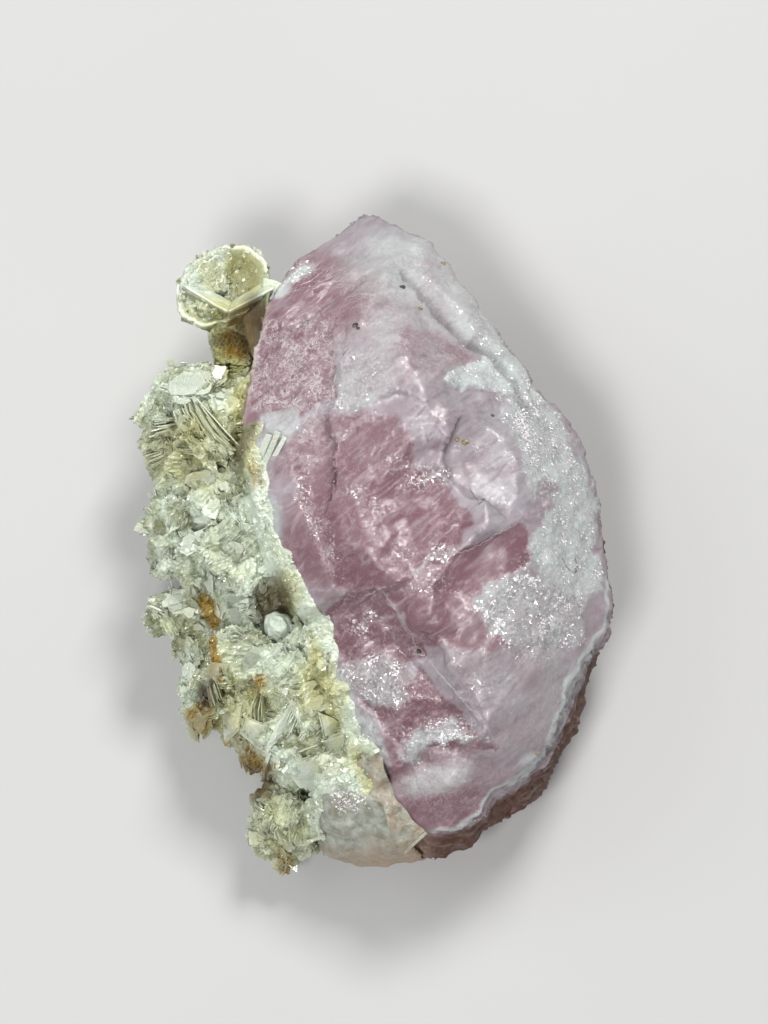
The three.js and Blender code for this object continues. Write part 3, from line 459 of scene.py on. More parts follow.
def crystal_shape(mesh):
    """Cuts the fine shapes in the crystal's surface, and marks where it is pink, frosted, veined and
    glittering, where its lower sides are darkened, a brownish tone with painted shade, and where a
    pale husk covers it."""
    p, normal = read_points(mesh)
    on_face = ease(normal[:, 2], 0.2, 0.5) * ease(p[:, 2], 9.2, 10.2)
    pink, frost, glitter, veined = (patches(p, spots) for spots in (PINK, FROST, GLITTER, VEINED))
    pink += 0.22
    sunk = np.zeros(len(p))
    for own_pink, own_frost, own_veins, own_glitter, depth, soft, outline in AREAS:
        share = inside(p, outline, soft)
        pink += share * (own_pink - pink)
        frost += share * (own_frost - frost)
        veined += share * (own_veins - veined)
        glitter += share * (np.maximum(0.6 * glitter, own_glitter) - glitter)
        sunk += share * (depth - sunk)
    frost *= 0.85 + 0.35 * swell(p, 1.1, 34)
    glitter *= 0.75 + 0.6 * swell(p, 0.8, 35)
    rough = np.clip(1 - 0.85 * patches(p, SMOOTH), 0, 1)

    small = facets(p, 0.55, 23)
    rise = 0.10 * swell(p, 5, 1) + 0.36 * flats(p, 4.2, 3) + 0.20 * (0.4 + rough) * flats(p, 2.0, 4)
    rise += on_face * (0.2 + 0.6 * rough) * 0.10 * flats(p, 1.0, 11)
    rise += on_face * (0.25 + 0.4 * frost + 1.0 * glitter) * 0.075 * flats(p, 0.6, 24)
    rise += on_face * ((0.3 * rough + frost + glitter) * 0.03 * swell(p, 0.42, 5) - sunk)
    for depth, width, line in SMALL_LEDGES:
        off, share = off_line(p, line)
        ends = ease(share, 0.0, 0.3) * (1 - ease(share, 0.7, 1.0))
        rise -= on_face * ends * depth * np.exp(np.minimum(off, 0) / width) * ease(-off, -0.1, 0.1)

    # Growth lines on the upper left face, from lower left to upper right
    across = p[:, 1] * math.cos(0.66) - p[:, 0] * math.sin(0.66)
    lines = np.sin(across * 9 + 2.5 * swell(p, 3, 7)) * patch(p, (-5.2, 18.6), (4.6, 3.4), 35)
    rise += on_face * 0.035 * lines

    # Shell-like ripples in the trough
    from_root = np.hypot(p[:, 0] - 9, p[:, 1] + 5)
    ripples = np.sin(from_root * 3.4 + 3 * swell(p, 3, 8)) * patch(p, (2.4, -11.6), (2.6, 6.4), 32)
    rise += on_face * 0.05 * ripples

    # The sides are layered, with ragged ledges one above another
    layer = p[:, 2] / 0.95 + 0.9 * swell(p, 4, 9) + 0.35 * swell(p, 0.9, 10)
    ragged = 0.34 * (layer % 1) - 0.17 + 0.16 * small + 0.14 * facets(p, 1.2, 12)
    rise += (1 - on_face) * ease(p[:, 2], 0.6, 2.5) * ragged
    front, _ = off_line(p, FRONT_EDGE)
    left, _ = off_line(p, LEFT_EDGE)
    edge = (1 - ease(np.abs(front + 0.3 * swell(p, 0.9, 36)), 0.04, 0.26)) * ease(p[:, 2], 9.0, 10.5)
    rise += 0.08 * edge * (1 + small)
    rise *= ease(p[:, 2], 0.02, 0.5)
    write_points(mesh, p + normal * rise[:, None])

    pink += 0.14 * swell(p, 2.4, 31) + 0.05 * swell(p, 1.0, 32)
    write_mask(mesh, "pink", pink)
    write_mask(mesh, "frost", np.maximum(frost, 0.65 * edge))
    write_mask(mesh, "glitter", glitter + 0.3 * np.clip(frost, 0, 1) + 0.05 * rough)
    write_mask(mesh, "veined", veined)
    # Painted shade: the lower sides under the face are marked to be darkened, over a brownish tone
    write_mask(mesh, "rim", (1 - ease(p[:, 2] + 0.4 * swell(p, 1.0, 38), 9.4, 10.6)) * (1 - edge))
    beside_albite = 0.75 * ease(-p[:, 0], -5.5, -3.0) * ease(-p[:, 1], 19.0, 21.0) * (1 - on_face)
    husk = (1 - ease(np.abs(left), 0.1, 0.4)) * (0.8 + 0.3 * swell(p, 1.0, 39))
    write_mask(mesh, "husk", np.maximum(husk, beside_albite * (0.8 + 0.4 * swell(p, 1.0, 40))))


def mixers(tree):
    """Short calls that add to a material: a number stored on the mesh, a mix of two colours, a sum of two
    numbers, and a product."""
    def mask(name):
        return node(tree, "Attribute", attribute_name=name).outputs["Fac"]

    def mix(factor, a, b):
        return blend(tree, factor, a, b)

    def plus(a, b, clamp=False):
        return node(tree, "Math", {0: a, 1: b}, operation="ADD", use_clamp=clamp).outputs[0]

    def times(a, b, clamp=False):
        return node(tree, "Math", {0: a, 1: b}, operation="MULTIPLY", use_clamp=clamp).outputs[0]

    return mask, mix, plus, times


# The crystal's colours
MILKY = (0.54, 0.515, 0.555, 1)
ROSE = (0.41, 0.265, 0.305, 1)
DEEP_ROSE = (0.30, 0.14, 0.175, 1)
DARK_VEIL = (0.24, 0.11, 0.15, 1)
PALE_VEIL = (0.84, 0.75, 0.81, 1)
DARK_GRIT = (0.22, 0.11, 0.14, 1)
PALE_GRIT = (0.96, 0.94, 0.95, 1)
FROST_WHITE = (0.88, 1.0, 0.975, 1)
THREAD_WHITE = (0.92, 0.85, 0.88, 1)
WHITE = (1.0, 1.0, 1.0, 1)
# The lower sides: a brownish tone darkened by painted shade
RIM_PAINTED_SHADE = (0.05, 0.015, 0.008, 1)
RIM_BROWN_AND_SHADE = (0.33, 0.15, 0.10, 1)
HUSK_TAN = (0.66, 0.53, 0.40, 1)
DEEP_INSIDE = (0.88, 0.66, 0.74, 1)
APATITE_BENDING = 1.63  # how strongly apatite bends light


def crystal_material():
    """Pink, part clear and part milky. Frost and veins are whiter and rougher, and small flats glitter,
    with painted white glints. The lower sides are a brownish tone darkened by painted shade."""
    made, tree = new_material("pink_apatite")
    where = places_in_mm(tree)
    mask, mix, plus, times = mixers(tree)

    def rises(value, low, high):
        return node(tree, "MapRange", {"Value": value, "From Min": low, "From Max": high}).outputs[0]

    def thread(scale, salt, thin):
        """Thin torn lines: where a cloudy number passes through its middle value."""
        shifted = node(tree, "VectorMath", {0: where, 1: (salt, 2 * salt, salt)}, operation="ADD").outputs[0]
        height = noise(tree, shifted, scale, 3.0, Distortion=1.8, Roughness=0.6)
        off = node(tree, "Math", {0: height, 1: 0.5}, operation="SUBTRACT").outputs[0]
        off = node(tree, "Math", {0: off}, operation="ABSOLUTE").outputs[0]
        return times(rises(off, thin, thin * 0.25), rises(noise(tree, shifted, 0.9, 2.0), 0.47, 0.56))

    # Veils inside the crystal, drawn out from lower left to upper right
    drawn = node(tree, "Mapping", {"Vector": where, "Rotation": (0, 0, 0.7), "Scale": (2.2, 0.6, 1.0)},
                 vector_type="TEXTURE").outputs[0]
    clouds = noise(tree, where, 0.3, 3.0, Roughness=0.5)
    wisps = noise(tree, drawn, 0.8, 4.0, Distortion=1.2, Roughness=0.55)
    grit = noise(tree, where, 3.4, 5.0, Roughness=0.7)
    painted_glints = rises(noise(tree, where, 4.6, 3.0), 0.56, 0.62)
    veins = node(tree, "Math", {0: thread(0.8, 3.0, 0.034), 1: thread(1.7, 7.0, 0.05)}, operation="MAXIMUM")
    veins = times(veins.outputs[0], mask("veined"))
    glitter, frost = mask("glitter"), mask("frost")

    pink = plus(mask("pink"), times(plus(clouds, -0.5), 0.6), clamp=True)
    body = mix(rises(pink, 0.0, 0.6), MILKY, ROSE)
    body = mix(rises(pink, 0.5, 1.0), body, DEEP_ROSE)
    body = mix(times(rises(wisps, 0.48, 0.30), 0.4), body, DARK_VEIL)
    body = mix(times(rises(wisps, 0.50, 0.76), 0.45), body, PALE_VEIL)
    busy = plus(0.05, plus(times(glitter, 0.6), times(mask("veined"), 0.3)), clamp=True)
    body = mix(times(rises(grit, 0.47, 0.34), busy), body, DARK_GRIT)
    body = mix(times(rises(grit, 0.55, 0.68), busy), body, PALE_GRIT)
    body = mix(times(frost, plus(0.5, times(grit, 1.1)), clamp=True), body, FROST_WHITE)
    body = mix(times(veins, 0.75), body, THREAD_WHITE)
    # Painted glints: white specks in the glittering places
    body = mix(times(painted_glints, glitter, clamp=True), body, WHITE)
    # Painted shade on the lower sides, over a brownish tone
    body = mix(mask("rim"), body, mix(grit, RIM_PAINTED_SHADE, RIM_BROWN_AND_SHADE))
    body = mix(mask("husk"), body, HUSK_TAN)
    rough = plus(0.25, plus(times(frost, 0.22), times(wisps, 0.16)))

    # Flat grains that each face their own way
    grains = node(tree, "TexVoronoi", {"Vector": where, "Scale": 3.6}, feature="F1").outputs["Color"]
    lean = node(tree, "VectorMath", {0: grains, 1: (0.5, 0.5, 0.5)}, operation="SUBTRACT").outputs[0]
    normal = node(tree, "NewGeometry").outputs["Normal"]

    def tilted(amount):
        turned = node(tree, "VectorMath", {0: lean, "Scale": amount}, operation="SCALE").outputs[0]
        turned = node(tree, "VectorMath", {0: normal, 1: turned}, operation="ADD").outputs[0]
        return node(tree, "VectorMath", {0: turned}, operation="NORMALIZE").outputs[0]

    relief = plus(grit, plus(times(wisps, 1.2), times(veins, 0.8)))
    bump = node(tree, "Bump", {
        "Strength": plus(0.2, plus(times(frost, 0.35), times(glitter, 0.4)), clamp=True), "Distance": 0.0002,
        "Height": relief, "Normal": tilted(plus(0.03, times(glitter, 0.7))),
    }).outputs[0]
    off_rim = node(tree, "Math", {0: 1.0, 1: mask("rim")}, operation="SUBTRACT").outputs[0]
    paint = node(tree, "BsdfPrincipled", {
        "Base Color": body, "Roughness": rough, "IOR": APATITE_BENDING, "Transmission Weight": 0.45,
        "Normal": bump, "Subsurface Weight": 0.3, "Subsurface Radius": (1.0, 0.75, 0.8),
        "Subsurface Scale": 0.0012, "Coat Roughness": 0.04,
        "Coat Weight": times(plus(0.04, times(glitter, 1.1)), off_rim, clamp=True),
        "Coat Normal": tilted(plus(0.12, glitter)),
    })
    depth = node(tree, "VolumeAbsorption", {"Color": DEEP_INSIDE, "Density": 36.0})
    node(tree, "OutputMaterial", {"Surface": paint.outputs[0], "Volume": depth.outputs[0]})
    return made


crystal_mesh = even_copy("apatite_crystal", CRYSTAL_GRAIN, 4)
crystal_shape(crystal_mesh)
crystal_mesh.shade_smooth()
apatite = crystal_material()
place_piece("crystal", crystal_mesh, apatite, "apatite_crystal")

# Fine raised edges of breaks on the face: width, height and the line
FRACTURES = [
    (0.16, 0.07, [
        (14.3, 1.9), (13.0, 0.9), (11.7, 0.2), (10.4, -0.7), (8.9, -1.5), (7.3, -2.4), (6.0, -2.6),
        (4.5, -2.7), (3.1, -3.6), (1.7, -5.0), (-0.1, -5.4), (-2.3, -5.6)]),
    (0.16, 0.08, [(0.8, -5.4), (2.0, -7.1), (3.3, -9.2), (5.3, -11.8), (7.7, -14.6), (10.1, -17.3)]),
    (0.14, 0.06, [(5.1, 10.9), (7.1, 11.1), (9.2, 11.0), (10.7, 11.1), (12.4, 10.1)]),
    (0.10, 0.05, [(5.1, 10.9), (6.0, 11.7), (6.8, 12.4), (7.6, 13.1)]),
    (0.12, 0.06, [
        (-1.9, 13.9), (-2.3, 13.1), (-3.0, 12.1), (-3.2, 11.1), (-3.2, 10.1), (-2.3, 9.7), (0.1, 10.4)]),
    (0.10, 0.05, [(1.7, 25.0), (0.6, 23.8), (-0.3, 22.7), (-1.6, 21.6)]),
    (0.12, 0.05, [(-5.2, 1.0), (-4.7, -0.1), (-4.2, -1.3), (-3.6, -2.9), (-3.1, -4.9)]),
    (0.14, 0.06, [(2.0, -16.7), (2.8, -16.0), (3.9, -15.5), (6.2, -15.3), (8.3, -15.6)]),
    (0.12, 0.05, [(2.9, -17.0), (2.9, -17.9), (3.1, -18.3), (3.9, -20.5), (4.6, -21.8)]),
    (0.10, 0.05, [(5.5, -17.8), (8.0, -17.8), (10.4, -17.3)]),
    (0.10, 0.04, [(-8.0, 14.6), (-6.6, 15.8), (-4.6, 17.2), (-3.0, 18.0)]),
]
# Dark and brown grains shut in the face, each a place and a size, and dark hair cracks like the fractures
DARK_GRAINS = [
    ((-1.4, 15.9), 0.34), ((2.3, 19.5), 0.30), ((9.4, 8.9), 0.22), ((3.6, -9.8), 0.26),
    ((-1.2, 15.6), 0.2),
]
BROWN_GRAINS = [
    ((3.7, 17.7), 0.26), ((7.2, 6.5), 0.42), ((6.6, 6.7), 0.30), ((5.6, 22.2), 0.3),
    ((12.9, -17.4), 0.2),
]
DARK_CRACKS = [
    (0.13, 0.05, [
        (14.9, -2.2), (15.2, -2.7), (15.6, -3.1), (16.0, -3.2), (16.2, -2.7), (16.0, -2.0),
        (15.6, -1.8)]),
    (0.12, 0.04, [(7.4, 3.0), (7.9, 2.2), (8.3, 1.3), (8.8, 1.8)]),
    (0.10, 0.04, [(-2.4, 13.4), (-1.9, 14.0)]),
]


def unit(vectors):
    """The same directions at a length of one."""
    return vectors / np.linalg.norm(vectors, axis=-1, keepdims=True)


def surface_of(mesh):
    """A mesh's surface, to be asked how high it lies."""
    return BVHTree.FromPolygons([v.co.copy() for v in mesh.vertices], [f.vertices[:] for f in mesh.polygons])


WELL_ABOVE = 60  # mm, higher than any piece


def height_at(surface, x, y):
    """How high a surface lies at a place, in mm, or 0 where there is none."""
    hit = surface.ray_cast(Vector((x, y, WELL_ABOVE)) * MM, Vector((0, 0, -1)))[0]
    return hit.z / MM if hit else 0.0


HAIR_STEP = 0.2  # mm
HAIR_SUNK = 0.05  # mm, how far a hair line's foot is under the surface


def hair_line(surface, line, width, height):
    """A fine ridge with three sides that follows a line over a surface."""
    route = [np.array(line[0], float)]
    for a, b in zip(line, line[1:]):
        steps = max(1, round(math.dist(a, b) / HAIR_STEP))
        route += [np.array(a) + (np.array(b) - np.array(a)) * k / steps for k in range(1, steps + 1)]
    route = np.array(route)
    route[1:-1] += random.normal(0, 0.04, (len(route) - 2, 2))
    along = unit(np.gradient(route, axis=0))
    taper = np.sin(np.linspace(0.15, math.pi - 0.15, len(route))) ** 0.6
    taper = taper * random.uniform(0.6, 1.2, len(route))
    points = []
    for place, (dx, dy), share in zip(route, along, taper):
        for offset, lift in ((-0.5, -HAIR_SUNK), (0, height), (0.5, -HAIR_SUNK)):
            x, y = place + np.array((-dy, dx)) * offset * width * share
            points.append((x, y, height_at(surface, x, y) + lift * share))
    last = len(points) - 3
    faces = [(0, 1, 2), (last + 2, last + 1, last)]
    for k in range(0, last, 3):
        for a, b in ((0, 1), (1, 2), (2, 0)):
            faces.append((k + b, k + a, k + a + 3, k + b + 3))
    return points, faces


def grain_lump(surface, place, size):
    """A small angular grain, half sunk in a surface."""
    x, y = place
    z = height_at(surface, x, y)
    ball = bmesh.new()
    bmesh.ops.create_icosphere(ball, subdivisions=1, radius=1)
    flat = np.array((1.0, 0.75, 0.5)) * size
    points = [np.array((x, y, z)) + np.array(v.co) * flat * random.uniform(0.6, 1.15) for v in ball.verts]
    faces = [tuple(v.index for v in f.verts) for f in ball.faces]
    ball.free()
    return points, faces


def mesh_of(name, parts):
    """One mesh of several closed shapes, each given as its places in mm and its faces."""
    points, faces = [], []
    for some_points, some_faces in parts:
        faces += [tuple(k + len(points) for k in face) for face in some_faces]
        points += [tuple(np.array(place) * MM) for place in some_points]
    mesh = bpy.data.meshes.new(name)
    mesh.from_pydata(points, [], faces)
    return mesh


def grain_material(name, dark, pale, roughness):
    """A mottled mineral without much depth."""
    made, tree = new_material(name)
    body = blend(tree, noise(tree, places_in_mm(tree), 3.0, 4.0), dark, pale)
    paint = node(tree, "BsdfPrincipled", {"Base Color": body, "Roughness": roughness, "IOR": 1.6})
    node(tree, "OutputMaterial", {"Surface": paint.outputs[0]})
    return made


# Fields of feather-like threads: middle, radii, how many, heading, spread of the headings, and length
FEATHERS = [
    ((-5.8, 12.6), (2.8, 4.0), 110, 60, 50, 1.3), ((-4.6, 18.8), (3.8, 2.4), 90, 38, 6, 1.9),
    ((-1.0, 5.6), (3.2, 2.6), 12, 50, 50, 0.8), ((1.6, -0.6), (4.0, 3.4), 8, -35, 35, 1.0),
    ((-0.4, 12.0), (1.8, 1.6), 40, 20, 60, 0.7), ((13.2, 9.0), (2.4, 5.0), 90, -55, 25, 0.9),
    ((2.2, -11.6), (2.4, 4.4), 20, -60, 35, 0.8), ((5.6, 14.0), (4.0, 3.0), 40, 30, 40, 0.9),
    ((15.6, 0.6), (2.0, 6.0), 110, -75, 45, 0.7), ((6.0, -20.0), (3.4, 2.4), 16, 70, 40, 0.8),
    ((3.0, 21.0), (4.0, 3.0), 50, 40, 25, 0.9),
]


FEATHER_STEPS = 4
FACE_LOW = 10.4  # mm, the face is higher than this
STEEP = 0.25  # mm, a thread that rises more from one point to the next is left out


def feather(field):
    """The line of one short thread, somewhere in its field."""
    (x, y), (wide, high), _, heading, spread, length = field
    angle = random.uniform(0, math.tau)
    reach = math.sqrt(random.random())
    spot = np.array([x + wide * reach * math.cos(angle), y + high * reach * math.sin(angle)])
    turn = math.radians(heading + random.normal(0, spread))
    step = length * random.uniform(0.4, 1.3) / FEATHER_STEPS
    route = [spot]
    for _ in range(FEATHER_STEPS):
        turn += random.normal(0, 0.22)
        route.append(route[-1] + step * np.array([math.cos(turn), math.sin(turn)]))
    return route


def lies_flat(points):
    """Whether a thread keeps to the face, and doesn't hang over its edge or a ledge."""
    high = np.array(points)[:, 2].reshape(-1, 3)
    steepest = max(np.abs(np.diff(high, axis=0)).max(), np.ptp(high, axis=1).max())
    return high.min() > FACE_LOW and steepest < STEEP


def leaves(at, facing, heading, length, width, thick, shade, corners=5):
    """Thin leaves as one mesh. Each has a middle, the way its flat looks, the way it's long, sizes in
    mm and a shade."""
    count = len(at)
    facing = unit(facing)
    along = unit(heading - (heading * facing).sum(axis=1)[:, None] * facing)
    across = np.cross(facing, along)
    angle = np.arange(corners) + random.uniform(-0.32, 0.32, (count, corners))
    angle = angle * math.pi * 2 / corners
    reach = random.uniform(0.62, 1.12, (count, corners))
    long_way = (np.cos(angle) * reach * length[:, None] / 2)[..., None] * along[:, None]
    wide_way = (np.sin(angle) * reach * width[:, None] / 2)[..., None] * across[:, None]
    ring = at[:, None] + long_way + wide_way
    lift = facing[:, None] * thick[:, None, None] / 2
    points = np.concatenate([ring + lift, ring - lift], axis=1).reshape(-1, 3) * MM
    first = (np.arange(count) * 2 * corners)[:, None]
    faces = [first + np.arange(corners), first + np.arange(2 * corners - 1, corners - 1, -1)]
    for k in range(corners):
        after = (k + 1) % corners
        faces.append(first + np.array([after, k, k + corners, after + corners]))
    mesh = bpy.data.meshes.new("leaves")
    mesh.from_pydata(points.tolist(), [], [face for group in faces for face in group.tolist()])
    write_mask(mesh, "shade", np.repeat(shade, 2 * corners))
    return mesh


def glint_chips_on(mesh, count, above=10.5):
    """Tiny flat chips, white as painted glints, that lie on the glittering places of a surface, higher than
    above mm.
    """
    spots, normal = read_points(mesh)
    glitter = np.empty(len(spots), np.float32)
    mesh.attributes["glitter"].data.foreach_get("value", glitter)
    weight = np.clip(glitter - 0.25, 0, 1) ** 1.5 * ease(normal[:, 2], 0.3, 0.6)
    weight = weight * ease(spots[:, 2], above, above + 1)
    weight *= 0.08 + ease(swell(spots, 0.9, 65), 0.0, 0.5)
    pick = random.choice(len(spots), count, p=weight / weight.sum())
    at = spots[pick] + random.normal(0, 0.07, (count, 3)) * (1, 1, 0.3)
    length = 0.07 + 0.28 * random.random(count) ** 2
    facing = normal[pick] + random.normal(0, 0.22, at.shape)
    return leaves(at, facing, random.normal(0, 1, at.shape), length,
                  length * random.uniform(0.4, 0.9, count), np.full(count, 0.04), np.ones(count))


def glint_material():
    """White to lilac flats that shine by their coat; their white is a painted highlight."""
    made, tree = new_material("glint")
    body = blend(tree, noise(tree, places_in_mm(tree), 2.0, 3.0), (0.55, 0.49, 0.53, 1), WHITE)
    paint = node(tree, "BsdfPrincipled", {
        "Base Color": body, "Roughness": 0.12, "IOR": APATITE_BENDING,
        "Coat Weight": 0.6, "Coat Roughness": 0.05,
    })
    node(tree, "OutputMaterial", {"Surface": paint.outputs[0]})
    return made


GLINT_CHIPS = 2800  # on the crystal's face

# Painted glints: white chips on the crystal's glittering places
glint = glint_material()
place_piece("glints", glint_chips_on(crystal_mesh, GLINT_CHIPS), glint)
face = surface_of(crystal_mesh)
frosted_edge = grain_material("frosted_edge", (0.66, 0.58, 0.62, 1), (0.86, 0.82, 0.84, 1), 0.3)
edges = [hair_line(face, line, width * 0.5, height * 0.5) for width, height, line in FRACTURES]
place_piece("fracture_edges", mesh_of("fracture_edges", edges), frosted_edge)
threads = [hair_line(face, feather(field), random.uniform(0.03, 0.09), 0.02)
           for field in FEATHERS for _ in range(field[2])]
threads = [(points, faces) for points, faces in threads if lies_flat(points)]
place_piece("feathers", mesh_of("feathers", threads), frosted_edge)
dark = [grain_lump(face, *grain) for grain in DARK_GRAINS]
dark += [hair_line(face, line, width, height) for width, height, line in DARK_CRACKS]
place_piece("dark_grains", mesh_of("dark_grains", dark),
            grain_material("dark_grain", (0.006, 0.005, 0.005, 1), (0.05, 0.045, 0.04, 1), 0.45))
brown = [grain_lump(face, *grain) for grain in BROWN_GRAINS]
place_piece("brown_grains", mesh_of("brown_grains", brown),
            grain_material("brown_grain", (0.07, 0.045, 0.012, 1), (0.30, 0.24, 0.09, 1), 0.4))


# The muscovite: a mass of silvery green mica books that grew along the crystal's left side, each book a
# stack of thin leaves. Iron water has left rust in its hollows.
MICA_GRAIN = 0.172  # mm
BOOK = 2.3  # mm, about how wide a book is whose leaves all face one way


def wide_flats(name, least=1.2):
    """The wide flat faces of a node: their middles, the ways they face, and their areas, in mm."""
    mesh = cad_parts[name].data
    middles = np.empty(len(mesh.polygons) * 3)
    mesh.polygons.foreach_get("center", middles)
    normals = np.empty(len(mesh.polygons) * 3)
    mesh.polygons.foreach_get("normal", normals)
    areas = np.empty(len(mesh.polygons))
    mesh.polygons.foreach_get("area", areas)
    middles, normals, areas = middles.reshape(-1, 3) / MM, normals.reshape(-1, 3), areas / MM**2
    planes = np.round(np.column_stack([normals * 12, (middles * normals).sum(axis=1) * 4])).astype(int)
    _, group = np.unique(planes, axis=0, return_inverse=True)
    group = group.ravel()
    total = np.bincount(group, areas)
    centre = np.stack([np.bincount(group, areas * middles[:, k]) / total for k in range(3)], axis=1)
    facing = np.stack([np.bincount(group, areas * normals[:, k]) / total for k in range(3)], axis=1)
    keep = total > least
    return centre[keep], facing[keep] / np.linalg.norm(facing[keep], axis=1)[:, None], total[keep]


def spots_on(name, count):
    """Random places spread evenly over a node's surface, and the ways that the surface faces there."""
    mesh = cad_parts[name].data
    mesh.calc_loop_triangles()
    corners = np.empty(len(mesh.loop_triangles) * 3, int)
    mesh.loop_triangles.foreach_get("vertices", corners)
    p, _ = read_points(mesh)
    a, b, c = (p[corners.reshape(-1, 3)[:, k]] for k in range(3))
    across = np.cross(b - a, c - a)
    area = np.linalg.norm(across, axis=1)
    pick = random.choice(len(area), count, p=area / area.sum())
    u, v = random.random((2, count, 1))
    turned = u + v > 1
    u, v = np.where(turned, 1 - u, u), np.where(turned, 1 - v, v)
    facing = across[pick] / area[pick, None]
    return a[pick] + u * (b - a)[pick] + v * (c - a)[pick], facing


def book_lies(p):
    """The way that the leaves face at each place, one way for each book, and a tone of that book."""
    own, _, _ = cells(p, BOOK, 91)
    return unit((own - 0.5) * (2.4, 2.4, 1.2) + (0, 0, 0.5)), own[:, 0]


def little_books(name, count, long_range, most, turn, by_book):
    """Little stacks of leaves all over a node. They face as their book does, or as the nearest wide
    flat does. Given are how many stacks, the range of their lengths, the most leaves, and how far they
    turn."""
    flat_at, flat_facing, flat_area = wide_flats(name)
    spots, surface = spots_on(name, count)
    keep = (spots[:, 2] > 0.8) & ((surface[:, 2] > -0.75) | (spots[:, 2] < 6))
    spots, surface = spots[keep], surface[keep]
    lies, tone = book_lies(spots)
    if not by_book:
        distance = np.linalg.norm(spots[:, None] - flat_at[None], axis=2)
        likely = np.sqrt(flat_area)[None] * np.exp(-((distance / 1.8) ** 2)) + 1e-9
        lost = distance.min(axis=1) > 3.5
        lies = np.where(lost[:, None], surface, flat_facing[likely.argmax(axis=1)])
    lies = unit(lies + random.normal(0, turn, spots.shape))
    layers = random.integers(2, most, len(spots))
    each = np.repeat(np.arange(len(spots)), layers)
    level = np.concatenate([np.arange(n) for n in layers])
    thick = random.uniform(0.035, 0.10, len(spots))[each]
    length = (long_range[0] + (long_range[1] - long_range[0]) * random.random(len(spots)) ** 2.6)[each]
    length = length * random.uniform(0.7, 1.15, len(each))
    heading = random.normal(0, 1, spots.shape)[each] + random.normal(0, 0.15, (len(each), 3))
    at = spots[each] + lies[each] * ((level - 0.8) * thick * 1.3)[:, None]
    at += random.normal(0, 0.08, at.shape)
    shade = 0.35 + 0.4 * tone[each] + random.normal(0, 0.12, len(spots))[each]
    shade = shade + random.normal(0, 0.07, len(each))
    return leaves(at, lies[each] + random.normal(0, 0.04, at.shape), heading, length,
                  length * random.uniform(0.45, 0.85, len(each)), thick, np.clip(shade, 0, 1))


def sheaves(bundles):
    """Long blades that stand side by side, a mesh of all the bundles. The blades are drawn thinner and
    closer than the table says, so each bundle has more of them."""
    at, facing, heading, length, width, shade = [], [], [], [], [], []
    for middle, turn, rise, count, long, wide, spread, gap, tone in bundles:
        count, gap, spread = round(count * 1.7), gap * 0.56, spread * 0.6
        for k in range(count):
            off = k - (count - 1) / 2
            angle = math.radians(turn + off * spread + random.normal(0, 2))
            run = np.array([math.cos(angle), math.sin(angle), math.sin(math.radians(rise))])
            side = unit(np.array([-run[1], run[0], 0.35 + random.normal(0, 0.12)]))
            at.append(np.array(middle) + side * off * gap + random.normal(0, 0.05, 3))
            facing.append(side)
            heading.append(run)
            length.append(long * random.uniform(0.75, 1.1))
            width.append(wide * random.uniform(0.7, 1.1))
            shade.append(np.clip(tone + random.normal(0, 0.12), 0, 1))
    thick = random.uniform(0.08, 0.16, len(at))
    return leaves(*(np.array(part) for part in (at, facing, heading, length, width)), thick, np.array(shade))


# The bundles of blades that stand out. For each: its middle, heading and rise in degrees, how many
# blades, their length and width, the spread between them in degrees, the gap between them, and their
# shade
BUNDLES = [
    ((-12.9, 8.6, 13.8), -55, 0, 6, 5.0, 2.0, 1.5, 0.28, 0.6),
    ((-14.9, 9.6, 13.2), -62, 4, 4, 3.4, 1.6, 3, 0.44, 0.6),
    ((-16.9, 9.4, 11.4), 12, 0, 5, 3.0, 1.8, -4, 0.28, 0.5),
    ((-17.2, 7.2, 10.0), 25, -5, 4, 2.6, 1.6, -5, 0.28, 0.4),
    ((-10.2, 8.4, 13.6), 8, 10, 9, 1.5, 1.3, 1, 0.28, 0.35),
    ((-9.0, -13.6, 11.4), -100, -12, 4, 3.8, 1.8, 7, 0.28, 0.6),
    ((-12.6, -12.2, 9.2), -80, -15, 4, 3.2, 1.8, 6, 0.28, 0.45),
    ((-16.9, -4.8, 9.0), -15, 5, 5, 3.0, 1.6, 6, 0.28, 0.7),
    ((-16.2, 2.6, 11.6), 40, 0, 4, 2.6, 1.4, 8, 0.28, 0.8),
    ((-5.6, -13.6, 12.8), -118, -8, 4, 4.6, 1.2, 5, 0.28, 0.85),
]


# Where iron has stained the mica: strength, middle, radii, turn
RUST = [
    (1.0, (-13.2, -5.6), (0.7, 1.6), 25), (0.9, (-12.6, -9.6), (0.4, 2.6), 10),
    (1.0, (-11.4, -17.8), (3.6, 1.9), -20), (0.6, (-9.0, -11.8), (0.8, 0.8), 0),
    (0.9, (-10.6, 16.4), (1.8, 1.8), 0), (0.8, (-14.0, -13.8), (1.3, 1.6), 0),
    (0.8, (-7.2, -25.4), (0.9, 1.4), 0), (0.5, (-9.2, 4.4), (0.8, 1.2), 0),
    (0.3, (-10.2, 9.0), (0.7, 3.0), 0), (0.6, (-9.6, 17.0), (1.0, 2.0), 20),
]
